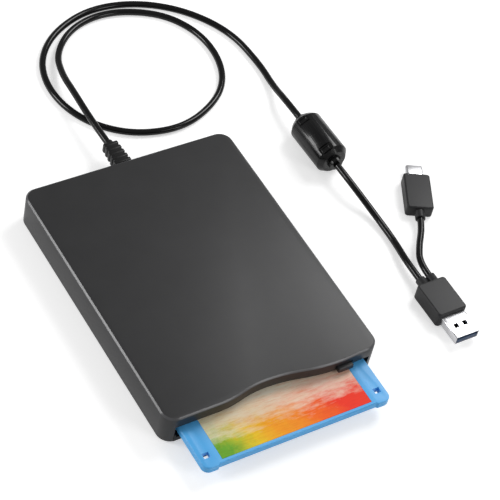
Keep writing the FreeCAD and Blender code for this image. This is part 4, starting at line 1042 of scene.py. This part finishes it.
class FLOPPY_OT_cords(bpy.types.Operator):
    """Lay the three cords along their routes"""
    bl_idname = "floppy.cords"
    bl_label = "Cords"

    def execute(self, context):
        look = context.scene.floppy_cord
        jacket = cord_jacket(look)
        for name in ("cord_inner_end", "cord_in_ferrite"):
            give(frame["nodes"][name], jacket)
        main = lay_cord("main_cord", MAIN_ROUTE, look.sections, jacket, "main_cable")
        plug = lay_cord("plug_cord", PLUG_ROUTE, look.sections, jacket, "plug_cable")
        branch = lay_cord("branch_cord", BRANCH_ROUTE, look.sections, jacket, "branch_cable")
        return {"FINISHED"}


# The panel, and the add-on's start and end

class FLOPPY_PT_panel(bpy.types.Panel):
    """Sidebar panel with one button for each group of pieces"""
    bl_label = "Floppy Drive"
    bl_idname = "FLOPPY_PT_panel"
    bl_space_type = "VIEW_3D"
    bl_region_type = "UI"
    bl_category = "Floppy Drive"

    def draw(self, context):
        for group in (context.scene.floppy_housing, context.scene.floppy_disk,
                      context.scene.floppy_cord, context.scene.floppy_studio):
            column = self.layout.column(align=True)
            for key in group.bl_rna.properties.keys():
                if key not in ("rna_type", "name"):
                    column.prop(group, key)
        for operator in OPERATORS:
            self.layout.operator(operator.bl_idname)


GROUPS = {"floppy_housing": HousingLook, "floppy_disk": DiskLook, "floppy_cord": CordLook,
          "floppy_studio": StudioLook}
OPERATORS = (FLOPPY_OT_housing, FLOPPY_OT_disk, FLOPPY_OT_mechanism, FLOPPY_OT_strain_relief,
             FLOPPY_OT_ferrite, FLOPPY_OT_usb_a_plug, FLOPPY_OT_usb_c_plug, FLOPPY_OT_cords,
             FLOPPY_OT_stage)


def register():
    """Register the settings, the operators and the panel."""
    for name, group in GROUPS.items():
        bpy.utils.register_class(group)
        setattr(bpy.types.Scene, name, PointerProperty(type=group))
    for item in OPERATORS + (FLOPPY_PT_panel,):
        bpy.utils.register_class(item)


def unregister():
    """Remove the panel, the operators and the settings."""
    for item in reversed(OPERATORS + (FLOPPY_PT_panel,)):
        bpy.utils.unregister_class(item)
    for name, group in GROUPS.items():
        delattr(bpy.types.Scene, name)
        bpy.utils.unregister_class(group)


def main():
    """Dress every piece and set the stage."""
    register()
    bpy.context.scene.view_settings.view_transform = "Standard"
    bpy.ops.floppy.housing()
    bpy.ops.floppy.disk()
    bpy.ops.floppy.mechanism()
    bpy.ops.floppy.strain_relief()
    bpy.ops.floppy.ferrite()
    bpy.ops.floppy.usb_a_plug()
    bpy.ops.floppy.usb_c_plug()
    bpy.ops.floppy.cords()
    bpy.ops.floppy.stage()
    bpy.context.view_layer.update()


if __name__ == "__main__":
    main()
